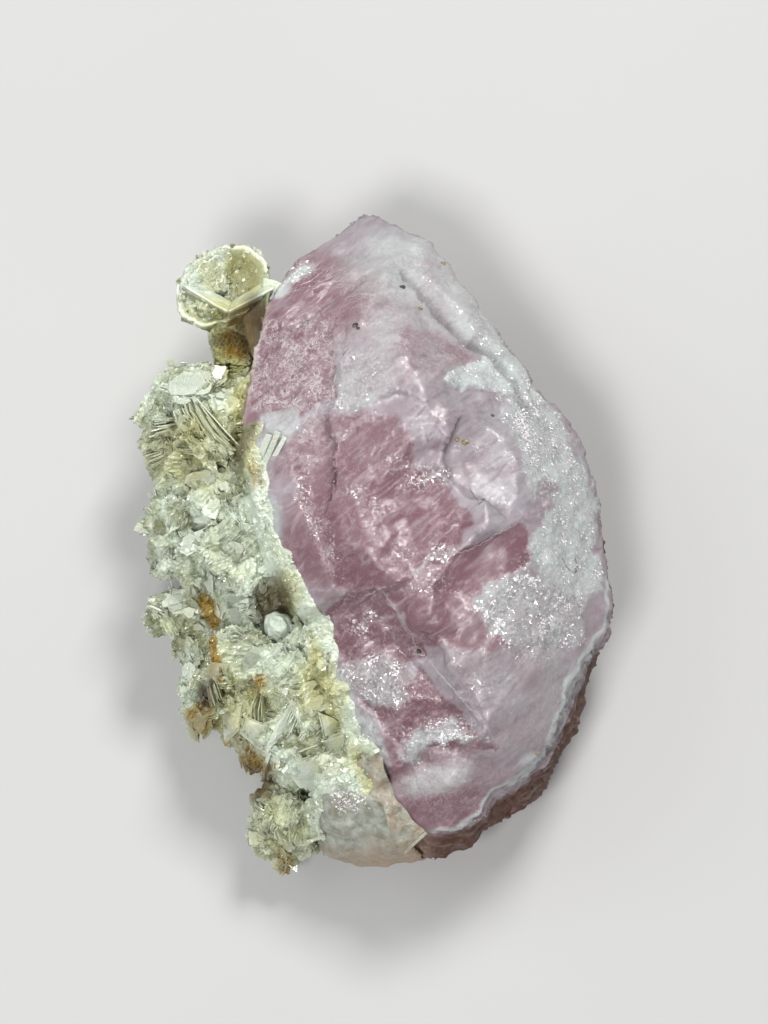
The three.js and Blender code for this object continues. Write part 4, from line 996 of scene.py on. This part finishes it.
# Where the mica is olive rather than silver
OLIVE = [
    (0.7, (-14.2, 7.0), (3.4, 3.2), 0), (0.9, (-10.2, 9.0), (1.4, 4.6), 0),
    (0.8, (-11.0, -13.4), (3.4, 2.2), 0), (0.7, (-4.4, -12.6), (2.0, 2.6), 30),
    (0.8, (-7.4, -5.0), (2.0, 1.6), 0), (0.5, (-16.6, 7.4), (2.6, 2.6), 0),
    (0.5, (-13.6, 18.4), (1.8, 1.2), -20), (1.0, (-10.4, 21.4), (1.5, 1.9), 15),
    (0.5, (-13.0, 21.2), (1.0, 1.4), 30), (0.9, (-11.4, 16.2), (2.4, 3.4), 0),
    (0.4, (-12.4, -10.4), (2.0, 2.6), 0), (0.4, (-4.0, -17.2), (3.0, 1.8), -30),
    (0.5, (-7.6, -22.4), (2.6, 3.0), 0), (0.9, (-3.8, -12.6), (0.8, 4.2), 15),
    (0.9, (0.4, -20.6), (0.9, 4.2), 30), (0.5, (-15.4, -7.0), (2.2, 1.0), -20),
    (0.7, (-7.4, 9.0), (0.9, 3.4), 0),
]
# The hollows and gaps between the books, and the rosette's stalk: painted shade, partly a brown stain
HOLLOW_SHADE_AND_STAIN = [
    (1.0, (-11.2, -18.6), (2.8, 1.7), -15), (1.0, (-13.5, -12.0), (0.7, 1.1), 10),
    (1.0, (-8.9, -5.9), (0.8, 0.4), 0), (0.85, (-8.0, -5.2), (1.6, 1.7), 0),
    (0.85, (-9.9, 16.6), (1.6, 1.7), 0), (1.0, (-9.2, 17.4), (1.0, 2.4), 15),
    (0.8, (-10.0, 7.6), (0.7, 2.4), -20), (0.6, (-12.0, 16.6), (1.6, 0.6), 0),
]


def mark_mica(mesh, shade=None, pale=False):
    """Stores where a mesh is stained, olive, and darkened by painted shade in its hollows, and its shade. A
    pale one stays clean.
    """
    p, _ = read_points(mesh)
    rust = np.clip(patches(p, RUST) + 0.4 * swell(p, 0.7, 41) - 0.18, 0, 1)
    olive = np.clip(patches(p, OLIVE) + 0.28 * swell(p, 1.6, 42), 0, 1)
    write_mask(mesh, "rust", rust * (not pale))
    write_mask(mesh, "olive", olive * (not pale))
    write_mask(mesh, "deep", patches(p, HOLLOW_SHADE_AND_STAIN) * (not pale))
    if shade is not None:
        write_mask(mesh, "shade", shade(p))


# The mica's colours, each from a dark leaf to a bright one
SILVER = (0.13, 0.14, 0.05, 1), (0.76, 0.85, 0.71, 1)
OLIVE_GREEN = (0.10, 0.095, 0.008, 1), (0.66, 0.66, 0.33, 1)
RUST_BROWN = (0.11, 0.055, 0.006, 1), (0.42, 0.28, 0.03, 1)
HOLLOW_SHADE_AND_STAIN_BROWN = (0.02, 0.014, 0.008, 1), (0.12, 0.07, 0.03, 1)
FLECK = (0.74, 0.82, 0.78, 1)


def mica_material():
    """Pearly leaves from olive to silver, with rust between them and painted shade in the hollows."""
    made, tree = new_material("muscovite")
    where = places_in_mm(tree)
    mask, mix, plus, times = mixers(tree)
    flecks = noise(tree, where, 1.4, 6.0, Roughness=0.65)
    grain = noise(tree, where, 5.0, 4.0, Roughness=0.7)
    tone = plus(mask("shade"), times(plus(grain, -0.5), 0.6), clamp=True)
    leaf = mix(mask("olive"), mix(tone, *SILVER), mix(tone, *OLIVE_GREEN))
    leaf = mix(times(plus(flecks, -0.56, clamp=True), 3.0, clamp=True), leaf, FLECK)
    leaf = mix(times(mask("rust"), 1.3, clamp=True), leaf, mix(flecks, *RUST_BROWN))
    # Painted shade in the hollows, dark brown, partly a brown stain
    leaf = mix(times(mask("deep"), 0.85), leaf, mix(flecks, *HOLLOW_SHADE_AND_STAIN_BROWN))
    bump = node(tree, "Bump", {"Strength": 0.8, "Distance": 0.0001, "Height": grain}).outputs[0]
    paint = node(tree, "BsdfPrincipled", {
        "Base Color": leaf, "Roughness": plus(0.20, times(grain, 0.3)), "IOR": 1.58, "Metallic": 0.08,
        "Normal": bump, "Subsurface Weight": 0.3, "Subsurface Radius": (1.0, 1.0, 0.7),
        "Subsurface Scale": 0.0008, "Coat Weight": 0.45, "Coat Roughness": 0.14,
    })
    node(tree, "OutputMaterial", {"Surface": paint.outputs[0]})
    return made


def mica_ground(name, grain):
    """The massive mica under the leaves of a node: broken books with layered sides, and pits between
    them."""
    mesh = even_copy(name, grain)
    p, normal = read_points(mesh)
    lies, _ = book_lies(p)
    _, _, border = cells(p, BOOK, 91)
    on_edge = 1 - np.abs((lies * normal).sum(axis=1))
    layer = (p * lies).sum(axis=1) / 0.36 + 0.35 * swell(p, 0.9, 55)
    rise = 0.20 * (layer % 1 - 0.5) * (0.3 + on_edge)
    rise += 0.20 * facets(p, 1.4, 51) + 0.14 * facets(p, 0.55, 61) + 0.10 * swell(p, 2.4, 52)
    rise -= 0.22 * (1 - ease(border, 0.0, 0.14)) + 0.3 * ease(swell(p, 1.3, 56), 0.4, 0.65)
    rise *= ease(p[:, 2], 0.02, 0.5)
    write_points(mesh, p + normal * rise[:, None])
    mark_mica(mesh, lambda q: (
        0.35 + 0.4 * book_lies(q)[1] + 0.25 * swell(q, 0.5, 53) + 0.15 * swell(q, 2.5, 54)))
    return mesh


FLAKE_LAYERS = 4
# The single leaves and blades that stand out, each a stack of as many: place, the way they face,
# heading in degrees, length, width and shade
FLAKES = [
    ((-15.0, 12.6), (-0.15, 0.2, 0.95), 10, 4.6, 2.7, 0.95),
    ((-12.4, 13.2), (0.1, 0.3, 0.95), 60, 2.2, 1.6, 0.8),
    ((-14.8, -0.9), (-0.1, 0.1, 1.0), 30, 1.7, 1.3, 1.0),
    ((-14.9, -9.9), (-0.4, 0.2, 0.9), 80, 2.0, 1.4, 0.9),
    ((-13.6, -13.9), (-0.5, 0.0, 0.85), 70, 3.2, 2.2, 0.3),
    ((-12.9, 8.4), (0.5, 0.3, 0.8), -55, 6.2, 1.2, 0.95),
    ((-7.3, -15.0), (0.3, -0.3, 0.9), -115, 5.6, 0.9, 1.0),
    ((-6.6, -14.6), (-0.3, -0.1, 0.95), -105, 4.0, 0.7, 0.8),
    ((-4.6, -13.4), (0.1, -0.3, 0.95), 40, 2.6, 2.0, 0.75),
    ((-3.2, -14.4), (0.4, -0.2, 0.9), 100, 2.4, 1.4, 0.6),
    ((-10.6, -14.6), (0.1, -0.4, 0.9), -80, 2.4, 1.8, 0.5),
    ((-13.6, 4.8), (-0.1, -0.5, 0.85), 20, 3.2, 1.8, 0.7),
    ((-15.6, -4.6), (-0.3, 0.2, 0.9), 15, 3.4, 2.4, 0.85),
    ((-9.6, -10.0), (0.35, -0.3, 0.9), 0, 2.2, 1.8, 0.6),
]
# The line along which the mica meets the crystal, from the upper block to the albite
SEAM = [
    (-10.0, 8.4), (-9.6, 5.4), (-9.2, 2.4), (-8.5, -0.4), (-7.2, -3.2), (-5.6, -6.0), (-4.5, -8.6),
    (-3.7, -11.2), (-2.5, -13.9), (-1.2, -16.4), (-0.4, -17.8),
]


def wander(at, step, size):
    """Smooth random numbers of about the given size along a line, one turn for every step."""
    knots = np.arange(at[0] - step, at[-1] + 2 * step, step)
    rough = np.interp(at, knots, random.normal(0, size, len(knots)))
    return np.convolve(np.pad(rough, 2, mode="edge"), np.ones(5) / 5, mode="valid")


def highest_near(row, reach):
    """The greatest of each number and its neighbours in a row."""
    wide = np.pad(row, reach, mode="edge")
    return np.max([wide[k:k + len(row)] for k in range(2 * reach + 1)], axis=0)


BAND_STEP = 0.14  # mm
BAND_ROWS = 15


def draped_band(line, beneath, width, lift, rough, salt, reach=0):
    """A band laid along a line over the surfaces beneath: how wide it is, how high it lies over them,
    how rough. It bridges a gap between two surfaces from the highest places within reach steps on each
    side."""
    line = np.array(line)
    run = np.concatenate([[0], np.cumsum(np.linalg.norm(np.diff(line, axis=0), axis=1))])
    at = np.arange(0, run[-1], BAND_STEP)
    route = np.stack([np.interp(at, run, line[:, k]) for k in range(2)], axis=1)
    along = unit(np.gradient(route, axis=0))
    side = np.column_stack([-along[:, 1], along[:, 0]])
    share = np.linspace(-1, 1, BAND_ROWS)
    half = width / 2 * (1 + wander(at, 0.8, 0.3))
    middle = route + side * wander(at, 1.5, 0.2)[:, None]
    spots = middle[None] + side[None] * (share[:, None] * half)[..., None]
    below = np.array([
        [max(height_at(surface, x, y) for surface in beneath) for x, y in row] for row in spots])
    part = ((share + 1) / 2)[:, None]
    bridge = highest_near(below[0], reach) * (1 - part) + highest_near(below[-1], reach) * part
    height = np.maximum(below, bridge)
    height = (np.roll(height, 1, axis=1) + height + np.roll(height, -1, axis=1)) / 3
    height += lift * (1 - share[:, None] ** 4) - 0.12
    grid = np.concatenate([spots, height[..., None]], axis=2)
    flat = grid.reshape(-1, 3)
    bumps = flats(flat, 0.9, salt) + facets(flat, 0.45, salt + 1) + 0.6 * swell(flat, 0.4, salt + 2)
    grid[..., 2] += (rough * bumps).reshape(grid.shape[:2]) * (1 - share[:, None] ** 4)
    return grid


def strewn(grid, count, least, most, tilt, shade):
    """Small leaves strewn over a sheet, given by its grid of places: their lengths, how steeply they
    lie, and their shade."""
    spots = grid.reshape(-1, 3)[random.integers(0, grid.shape[0] * grid.shape[1], count)]
    spots = spots + random.normal(0, 0.08, spots.shape) + (0, 0, 0.05)
    length = least + (most - least) * random.random(count) ** 2
    facing = random.normal(0, tilt, spots.shape) + (0, 0, 1)
    return leaves(spots, facing, random.normal(0, 1, spots.shape), length,
                  length * random.uniform(0.5, 0.9, count), random.uniform(0.04, 0.08, count),
                  np.clip(shade + random.normal(0, 0.18, count), 0, 1))


def sheet_mesh(grids, thick, shades):
    """Thin curved sheets, each closed: every grid is rows by columns of places in mm, with its shade. The
    thickness is one number, or one for each row."""
    points, faces, tones = [], [], []
    start = 0
    for grid, shade in zip(grids, shades):
        rows, columns = grid.shape[:2]
        facing = unit(np.cross(np.gradient(grid, axis=1), np.gradient(grid, axis=0)) + 1e-12)
        half = facing * np.broadcast_to(np.reshape(thick, (-1, 1, 1)), (rows, 1, 1)) / 2
        points += [(grid + half).reshape(-1, 3), (grid - half).reshape(-1, 3)]
        number = start + np.arange(rows * columns).reshape(rows, columns)
        under = rows * columns
        quads = np.stack([number[:-1, :-1], number[:-1, 1:], number[1:, 1:], number[1:, :-1]], axis=-1)
        quads = quads.reshape(-1, 4)
        faces += quads.tolist() + (quads[:, ::-1] + under).tolist()
        edge = np.concatenate([number[0], number[1:, -1], number[-1, -2::-1], number[-2:0:-1, 0]])
        after = np.roll(edge, -1)
        faces += np.stack([after, edge, edge + under, after + under], axis=-1).tolist()
        tones.append(np.tile(np.broadcast_to(shade, grid.shape[:2]).ravel(), 2))
        start += 2 * under
    mesh = bpy.data.meshes.new("sheets")
    mesh.from_pydata((np.concatenate(points) * MM).tolist(), [], faces)
    write_mask(mesh, "shade", np.concatenate(tones))
    return mesh


LEAF_ROWS = 14


def flat_leaf(corners, sag=0.0):
    """A leaf between four corners, in order round it, that sags in its middle."""
    a, b, c, d = (np.array(corner, float) for corner in corners)
    share = np.linspace(0, 1, LEAF_ROWS)
    u, v = share[:, None, None], share[None, :, None]
    grid = (1 - u) * ((1 - v) * a + v * b) + u * ((1 - v) * d + v * c)
    grid[..., 2] -= sag * (np.sin(math.pi * u) * np.sin(math.pi * v))[..., 0]
    return grid


mica = mica_material()
ground = mica_ground("muscovite_matrix", MICA_GRAIN)
place_piece("mica_mass", ground, mica, "muscovite_matrix")
# Two sets of little books: how many, the range of their lengths, the most leaves, and whether they face
# as the book beneath does
BOOK_SETS = [(2500, (0.22, 1.1), 5, True), (620, (0.6, 2.2), 6, False)]
for number, (count, long_range, most, by_book) in enumerate(BOOK_SETS):
    books = little_books("muscovite_matrix", count, long_range, most, 0.24, by_book)
    mark_mica(books)
    place_piece(f"mica_leaves_{number + 1}", books, mica)
blades = sheaves(BUNDLES)
mark_mica(blades)
place_piece("mica_blades", blades, mica)

mica_top = surface_of(ground)
stack, level = np.divmod(np.arange(len(FLAKES) * FLAKE_LAYERS), FLAKE_LAYERS)
places = np.array([(x, y, height_at(mica_top, x, y) + 0.1) for (x, y), *_ in FLAKES])[stack]
facing = unit(np.array([facing for _, facing, *_ in FLAKES]))[stack]
turned = np.radians([turn for _, _, turn, *_ in FLAKES])[stack] + random.normal(0, 0.12, len(stack))
sizes = np.array([(length, width, shade) for _, _, _, length, width, shade in FLAKES])[stack]
sizes = sizes * np.column_stack([1 - 0.13 * level, 1 - 0.13 * level, 1 - 0.12 * (level % 2)])
places = places + facing * 0.07 * level[:, None] + random.normal(0, 0.1, places.shape)
flakes = leaves(places, facing + random.normal(0, 0.06, facing.shape),
                np.column_stack([np.cos(turned), np.sin(turned), 0 * turned]), sizes[:, 0], sizes[:, 1],
                np.full(len(stack), 0.06), sizes[:, 2] * 0.8, corners=13)
mark_mica(flakes)
place_piece("mica_flakes", flakes, mica)

band = draped_band(SEAM, (face, mica_top), 1.9, 0.14, 0.17, 95)
seam = sheet_mesh([band], 0.3, [0.75])
mark_mica(seam)
place_piece("mica_seam", seam, mica)
seam_leaves = strewn(band, 1100, 0.2, 0.9, 0.7, 0.7)
mark_mica(seam_leaves)
place_piece("seam_leaves", seam_leaves, mica)

# Larger curved sheets above the albite, each by its corners and shade. Each is a pair: the second is
# smaller and lies on the first.
CURVED_SHEETS = [
    ([(-12.1, -12.9), (-10.3, -13.2), (-10.7, -15.2), (-11.9, -16.3)], 0.75),
    ([(-10.3, -14.1), (-8.4, -15.0), (-8.9, -16.8), (-10.7, -15.4)], 0.85),
    ([(-4.2, -16.3), (-2.3, -15.5), (-0.9, -18.3), (-2.7, -18.5)], 0.45),
    ([(-4.4, -14.2), (-2.3, -14.9), (-2.0, -15.5), (-3.9, -16.3)], 0.55),
    ([(-3.1, -18.3), (-1.2, -17.5), (-0.1, -20.1), (-2.3, -20.3)], 0.8),
    ([(-7.1, -18.1), (-4.3, -17.3), (-3.1, -19.3), (-5.9, -19.7)], 0.9),
    ([(-6.7, -13.2), (-4.9, -12.4), (-4.6, -14.4), (-6.0, -15.2)], 0.9),
]
curved = []
for corners, _ in CURVED_SHEETS:
    high = [height_at(mica_top, x, y) for x, y in corners]
    level = np.mean([max(z, 8.0) for z in high])
    for lift, size in ((0.25, 1.0), (0.45, 0.82)):
        middle = np.mean(corners, axis=0)
        ring = [(*(middle + (np.array(corner) - middle) * size), max(z, level - 1) + lift)
                for corner, z in zip(corners, high)]
        sheet = flat_leaf(ring, -0.35)
        spots = sheet.reshape(-1, 3)
        uneven_by = 0.18 * flats(spots, 1.1, 44) + 0.06 * swell(spots, 0.4, 45)
        sheet[..., 2] += uneven_by.reshape(LEAF_ROWS, LEAF_ROWS)
        curved.append(sheet)
sheets = sheet_mesh(curved, 0.09, [shade for _, shade in CURVED_SHEETS for _ in range(2)])
mark_mica(sheets)
place_piece("mica_sheets", sheets, mica)

# The thin cream skin between the crystal and the rest, down to its foot
SKIN = [
    (-4.9, -8.4), (-4.2, -11.2), (-3.4, -14.0), (-2.2, -16.4), (-0.6, -18.8), (0.6, -21.0),
    (1.9, -22.8),
]
skin = sheet_mesh([draped_band(SKIN, (face, mica_top), 0.6, 0.14, 0.05, 99, 2)], 0.2, [0.7])
mark_mica(skin)
place_piece("cream_skin", skin, mica)

# Three long pale blades that stand against the crystal
CLEAR_BLADES = [
    [(-9.8, 4.6, 16.4), (-8.5, 7.4, 18.2), (-8.0, 7.3, 18.1), (-9.3, 4.5, 16.4)],
    [(-9.1, 4.7, 16.6), (-7.7, 7.6, 18.5), (-7.3, 7.4, 18.5), (-8.7, 4.6, 16.6)],
    [(-8.4, 5.1, 16.9), (-7.1, 7.2, 18.5), (-6.8, 7.0, 18.5), (-8.1, 4.9, 16.9)],
]
clear_blades = sheet_mesh([flat_leaf(corners) for corners in CLEAR_BLADES], 0.12, [0.75, 0.65, 0.8])
mark_mica(clear_blades, pale=True)
place_piece("clear_blades", clear_blades, mica)


# The rosette at the upper left: curved mica leaves that open like a shell, on a short brown stalk. It
# grew apart from the rest, and leans on the crystal.
ROSETTE_EDGE = [
    (-15.7, 20.3), (-14.2, 22.4), (-12.2, 23.4), (-10.7, 23.6), (-9.6, 23.4), (-8.8, 22.6),
    (-8.4, 21.6), (-8.5, 20.2), (-9.5, 18.8), (-11.7, 17.9), (-13.9, 17.0), (-15.3, 17.3),
    (-15.8, 18.8),
]
ROSETTE_HEART = np.array([-11.9, 20.3])


CUP_ROWS = 12


def rosette_reach(angle):
    """How far the rosette's rounded edge is from its heart, at each angle in degrees."""
    spokes = np.array(ROSETTE_EDGE) - ROSETTE_HEART
    angles = np.degrees(np.arctan2(spokes[:, 1], spokes[:, 0]))
    order = np.argsort(angles)
    reach = np.hypot(*spokes.T)[order]
    turns = (-24, -12, 0, 12, 24)
    return np.mean([np.interp(angle + turn, angles[order], reach, period=360) for turn in turns], axis=0)


def cup_leaf(start, end, inner, outer, low, high, bend, fray, salt, droop=0.0):
    """One curved leaf of the cup, between two angles, from its inner to its outer share of the edge. It
    rises from low to high by its bend, its rim is frayed, and its two ends may droop."""
    angle = np.linspace(start, end, max(8, int(abs(end - start) / 4)))[None, :]
    share = np.linspace(0, 1, CUP_ROWS)[:, None]
    torn = fray * (np.sin(angle * 0.21 + salt) + 0.6 * np.sin(angle * 0.83 + 2 * salt))
    reach = rosette_reach(angle) * (inner + (outer + torn - inner) * share)
    x = ROSETTE_HEART[0] + reach * np.cos(np.radians(angle))
    y = ROSETTE_HEART[1] + reach * np.sin(np.radians(angle))
    z = low + (high - low) * share**bend + 1.5 * fray * np.sin(angle * 0.1 + salt) * share
    z = z - droop * (1 - ease(np.minimum(angle - start, end - angle), 0, 40))
    return np.stack([x, y, z + 0 * x], axis=2)


def rimmed(inside, rim):
    """The shades of a leaf of the cup, which change from its inner part to its outer rim."""
    return inside + (rim - inside) * np.linspace(0, 1, CUP_ROWS)[:, None] ** 7


def uneven(grid, size, height, salt):
    """The same leaf with small swells, more on its left half."""
    spots = grid.reshape(-1, 3)
    left = 0.35 + 0.65 * ease(-spots[:, 0], 11.0, 12.6)
    rise = height * left * (swell(spots, size, salt) + 0.6 * swell(spots, size / 2, salt + 1))
    return grid + rise.reshape(*grid.shape[:2], 1) * np.array((0, 0, 1))


SHELL_THICKNESS = 0.14 + 0.14 * np.linspace(0, 1, CUP_ROWS) ** 8  # mm, from the heart to the rounded rim
shell = [uneven(cup_leaf(-185, 176, 0.01, 1.0, 12.5, 13.9, 2.2, 0.02, 1), 0.9, 0.22, 75),
         uneven(cup_leaf(-178, 170, 0.30, 0.98, 11.0, 13.3, 1.6, 0.02, 2), 0.9, 0.18, 76)]
rosette_shell = sheet_mesh(shell, SHELL_THICKNESS, [rimmed(0.25, 0.9), rimmed(0.3, 0.8)])
mark_mica(rosette_shell)
rosette_shell.shade_smooth()
place_piece("rosette_shell", rosette_shell, mica)
# The flat leaves in the cup, each by its corners, its sag and its shade: a brown one by the stalk, the
# two arms of the V, the slopes below them, and two small ones at the right
CUP_FLATS = [
    ([(-8.3, 19.6, 15.0), (-10.6, 18.0, 13.0), (-9.7, 14.8, 12.4), (-9.0, 15.2, 14.2)], 0.1, 0.15),
    ([(-15.3, 20.2, 14.2), (-11.6, 17.9, 14.9), (-11.2, 18.9, 13.2), (-14.4, 20.9, 13.0)], 0.15, 1.0),
    ([(-11.7, 17.9, 14.9), (-7.9, 19.9, 14.9), (-8.9, 20.7, 13.4), (-11.5, 19.0, 13.1)], 0.15, 0.95),
    ([(-15.3, 20.1, 14.1), (-11.6, 17.9, 14.8), (-13.2, 16.9, 12.6), (-15.5, 17.8, 12.6)], 0.35, 0.2),
    ([(-11.7, 17.9, 14.8), (-8.1, 19.7, 14.5), (-9.2, 18.4, 12.4), (-11.8, 17.3, 12.4)], 0.2, 0.55),
    ([(-8.8, 20.9, 14.3), (-7.0, 20.2, 14.8), (-7.3, 19.6, 14.6), (-9.0, 19.9, 13.8)], 0.05, 0.9),
    ([(-8.9, 17.6, 14.6), (-8.2, 15.4, 14.2), (-8.9, 15.0, 12.6), (-9.6, 17.4, 12.8)], 0.1, 0.7),
]
# The cup's left half and a fold in it, and then the flat ones
rosette_sheets = [
    (cup_leaf(58, 225, 0.04, 0.96, 13.1, 14.1, 1.2, 0.02, 3, 1.4), 0.62),
    (cup_leaf(95, 190, 0.35, 0.80, 13.4, 14.4, 1.2, 0.03, 4, 0.5), 0.78),
]
rosette_sheets += [(flat_leaf(corners, sag), shade) for corners, sag, shade in CUP_FLATS]
folds = [uneven(grid, 0.55, 0.2, 77) for grid, _ in rosette_sheets]
for grid in folds:
    grid[..., 2] += 0.22 * flats(grid.reshape(-1, 3), 0.9, 79).reshape(grid.shape[:2])
rosette_leaves = sheet_mesh(folds, 0.2, [shade for _, shade in rosette_sheets])
mark_mica(rosette_leaves)
rosette_leaves.shade_smooth()
place_piece("rosette_leaves", rosette_leaves, mica)

# Small bright flakes in the left half of the cup, and a few elsewhere on it
SPARKS = [(folds[0], 420, 0.62), (folds[1], 90, 0.9), (shell[0], 420, 0.3)]
for number, (grid, count, shade) in enumerate(SPARKS):
    sparks = strewn(grid, count, 0.15, 0.7, 0.45, shade)
    mark_mica(sparks)
    place_piece(f"rosette_flakes_{number + 1}", sparks, mica)
SMALL_GRAIN = 0.15  # mm
heart = mica_ground("muscovite_rosette", SMALL_GRAIN)
place_piece("rosette_heart", heart, mica, "muscovite_rosette")


# The cluster at the lower left corner: short pale mica leaves, stacked in every direction, brown at the
# tip. It grew apart from the rest, and touches the albite.
tail_mesh = mica_ground("muscovite_tail_book", SMALL_GRAIN)
place_piece("tail_mass", tail_mesh, mica, "muscovite_tail_book")
tail_leaves = little_books("muscovite_tail_book", 620, (0.3, 1.5), 5, 0.35, True)
mark_mica(tail_leaves)
place_piece("tail_leaves", tail_leaves, mica)


# The albite: a white block of feldspar with smooth breaks, that filled the corner below the mica. Part
# of it is stained to the colour of a peach.
ALBITE_GRAIN = 0.2  # mm
ALBITE_GREY = (0.34, 0.355, 0.27, 1)
ALBITE_WHITE = (0.72, 0.75, 0.66, 1)
PEACH = (0.56, 0.37, 0.23, 1)


def albite_material():
    """Mottled grey to white, and peach where it's stained. Light goes some way into it."""
    made, tree = new_material("albite")
    where = places_in_mm(tree)
    clouds = noise(tree, where, 0.9, 8.0, Roughness=0.7)
    cream = node(tree, "Attribute", attribute_name="cream").outputs["Fac"]
    tone = node(tree, "MapRange", {"Value": clouds, "From Min": 0.38, "From Max": 0.62}).outputs[0]
    body = blend(tree, cream, blend(tree, tone, ALBITE_GREY, ALBITE_WHITE), PEACH)
    grit = noise(tree, where, 3.0, 6.0, Roughness=0.7)
    bump = node(tree, "Bump", {"Strength": 0.6, "Distance": 0.0002, "Height": grit}).outputs[0]
    paint = node(tree, "BsdfPrincipled", {
        "Base Color": body, "Roughness": 0.24, "IOR": 1.53, "Normal": bump,
        "Transmission Weight": 0.4, "Subsurface Weight": 0.4, "Subsurface Radius": (1.0, 0.9, 0.7),
        "Subsurface Scale": 0.0015, "Coat Weight": 0.35, "Coat Roughness": 0.08,
    })
    node(tree, "OutputMaterial", {"Surface": paint.outputs[0]})
    return made


albite_mesh = even_copy("albite_block", ALBITE_GRAIN)
spots, outward = read_points(albite_mesh)
lift = 0.34 * flats(spots, 3.0, 71) + 0.16 * flats(spots, 1.1, 72) + 0.06 * flats(spots, 0.5, 73)
lift *= ease(spots[:, 2], 0.02, 0.5)
write_points(albite_mesh, spots + outward * lift[:, None])
brownish = np.maximum(ease(spots[:, 0], 0.4, 3.4), ease(-spots[:, 1], 23.6, 25.4)) * 0.8
write_mask(albite_mesh, "cream", brownish + 0.25 * swell(spots, 1.2, 74))
write_mask(albite_mesh, "glitter", patch(spots, (-3.0, -20.0), (2.6, 1.8), -30) + 0.2)
albite_mesh.shade_smooth()
albite = albite_material()
place_piece("albite", albite_mesh, albite, "albite_block")
# Painted glints: white chips on the albite's glittering place
place_piece("albite_glints", glint_chips_on(albite_mesh, 260, 6), glint)

# Its brownish border, where it meets the crystal
ALBITE_EDGE = [(-0.9, -17.7), (0.3, -19.7), (1.5, -21.7), (2.8, -23.7), (3.4, -24.4)]
albite_top = surface_of(albite_mesh)
border = sheet_mesh([draped_band(ALBITE_EDGE, (face, albite_top), 1.7, 0.10, 0.08, 98, 8)], 0.25, [1.0])
write_mask(border, "cream", 0.3 + 0.3 * swell(read_points(border)[0], 0.7, 100))
place_piece("albite_border", border, albite)

# Pale mica that grew over the top of the albite, and down between it and the tail
tail_top = surface_of(tail_mesh)
OVER_TOP = [(-8.4, -17.4), (-6.2, -18.4), (-3.8, -18.7), (-1.6, -18.9), (0.0, -20.0)]
BESIDE_TAIL = [(-5.2, -18.6), (-5.3, -20.4), (-5.0, -22.2), (-4.6, -23.6)]
beneath = (face, mica_top, albite_top, tail_top)
lobes = [draped_band(OVER_TOP, beneath, 2.4, 0.3, 0.3, 101),
         draped_band(BESIDE_TAIL, beneath, 1.6, 0.1, 0.25, 104)]
over = sheet_mesh(lobes, 0.3, [0.85, 0.6])
mark_mica(over)
place_piece("mica_lobes", over, mica)
for number, (grid, count) in enumerate(zip(lobes, (650, 260))):
    strewn_leaves = strewn(grid, count, 0.25, 1.1, 0.6, 0.8)
    mark_mica(strewn_leaves)
    place_piece(f"lobe_leaves_{number + 1}", strewn_leaves, mica)


# The quartz: one whitish green grain with blunt flats, caught in the hollow of the mica. It is milky
# rather than clear.
QUARTZ_GRAIN = 0.1  # mm


def quartz_material():
    """Milky, from grey green to white, with a satin surface."""
    made, tree = new_material("quartz")
    clouds = noise(tree, places_in_mm(tree), 1.2, 5.0)
    body = blend(tree, clouds, (0.30, 0.36, 0.27, 1), (0.78, 0.86, 0.76, 1))
    bump = node(tree, "Bump", {"Strength": 1.0, "Distance": 0.0004, "Height": clouds}).outputs[0]
    paint = node(tree, "BsdfPrincipled", {
        "Base Color": body, "Roughness": 0.34, "IOR": 1.54, "Transmission Weight": 0.12, "Normal": bump,
    })
    node(tree, "OutputMaterial", {"Surface": paint.outputs[0]})
    return made


quartz_mesh = even_copy("quartz_grain", QUARTZ_GRAIN)
spots, outward = read_points(quartz_mesh)
lift = 0.22 * facets(spots, 0.9, 81) + 0.10 * swell(spots, 0.5, 82)
write_points(quartz_mesh, spots + outward * lift[:, None])
quartz_mesh.shade_smooth()
place_piece("quartz", quartz_mesh, quartz_material(), "quartz_grain")
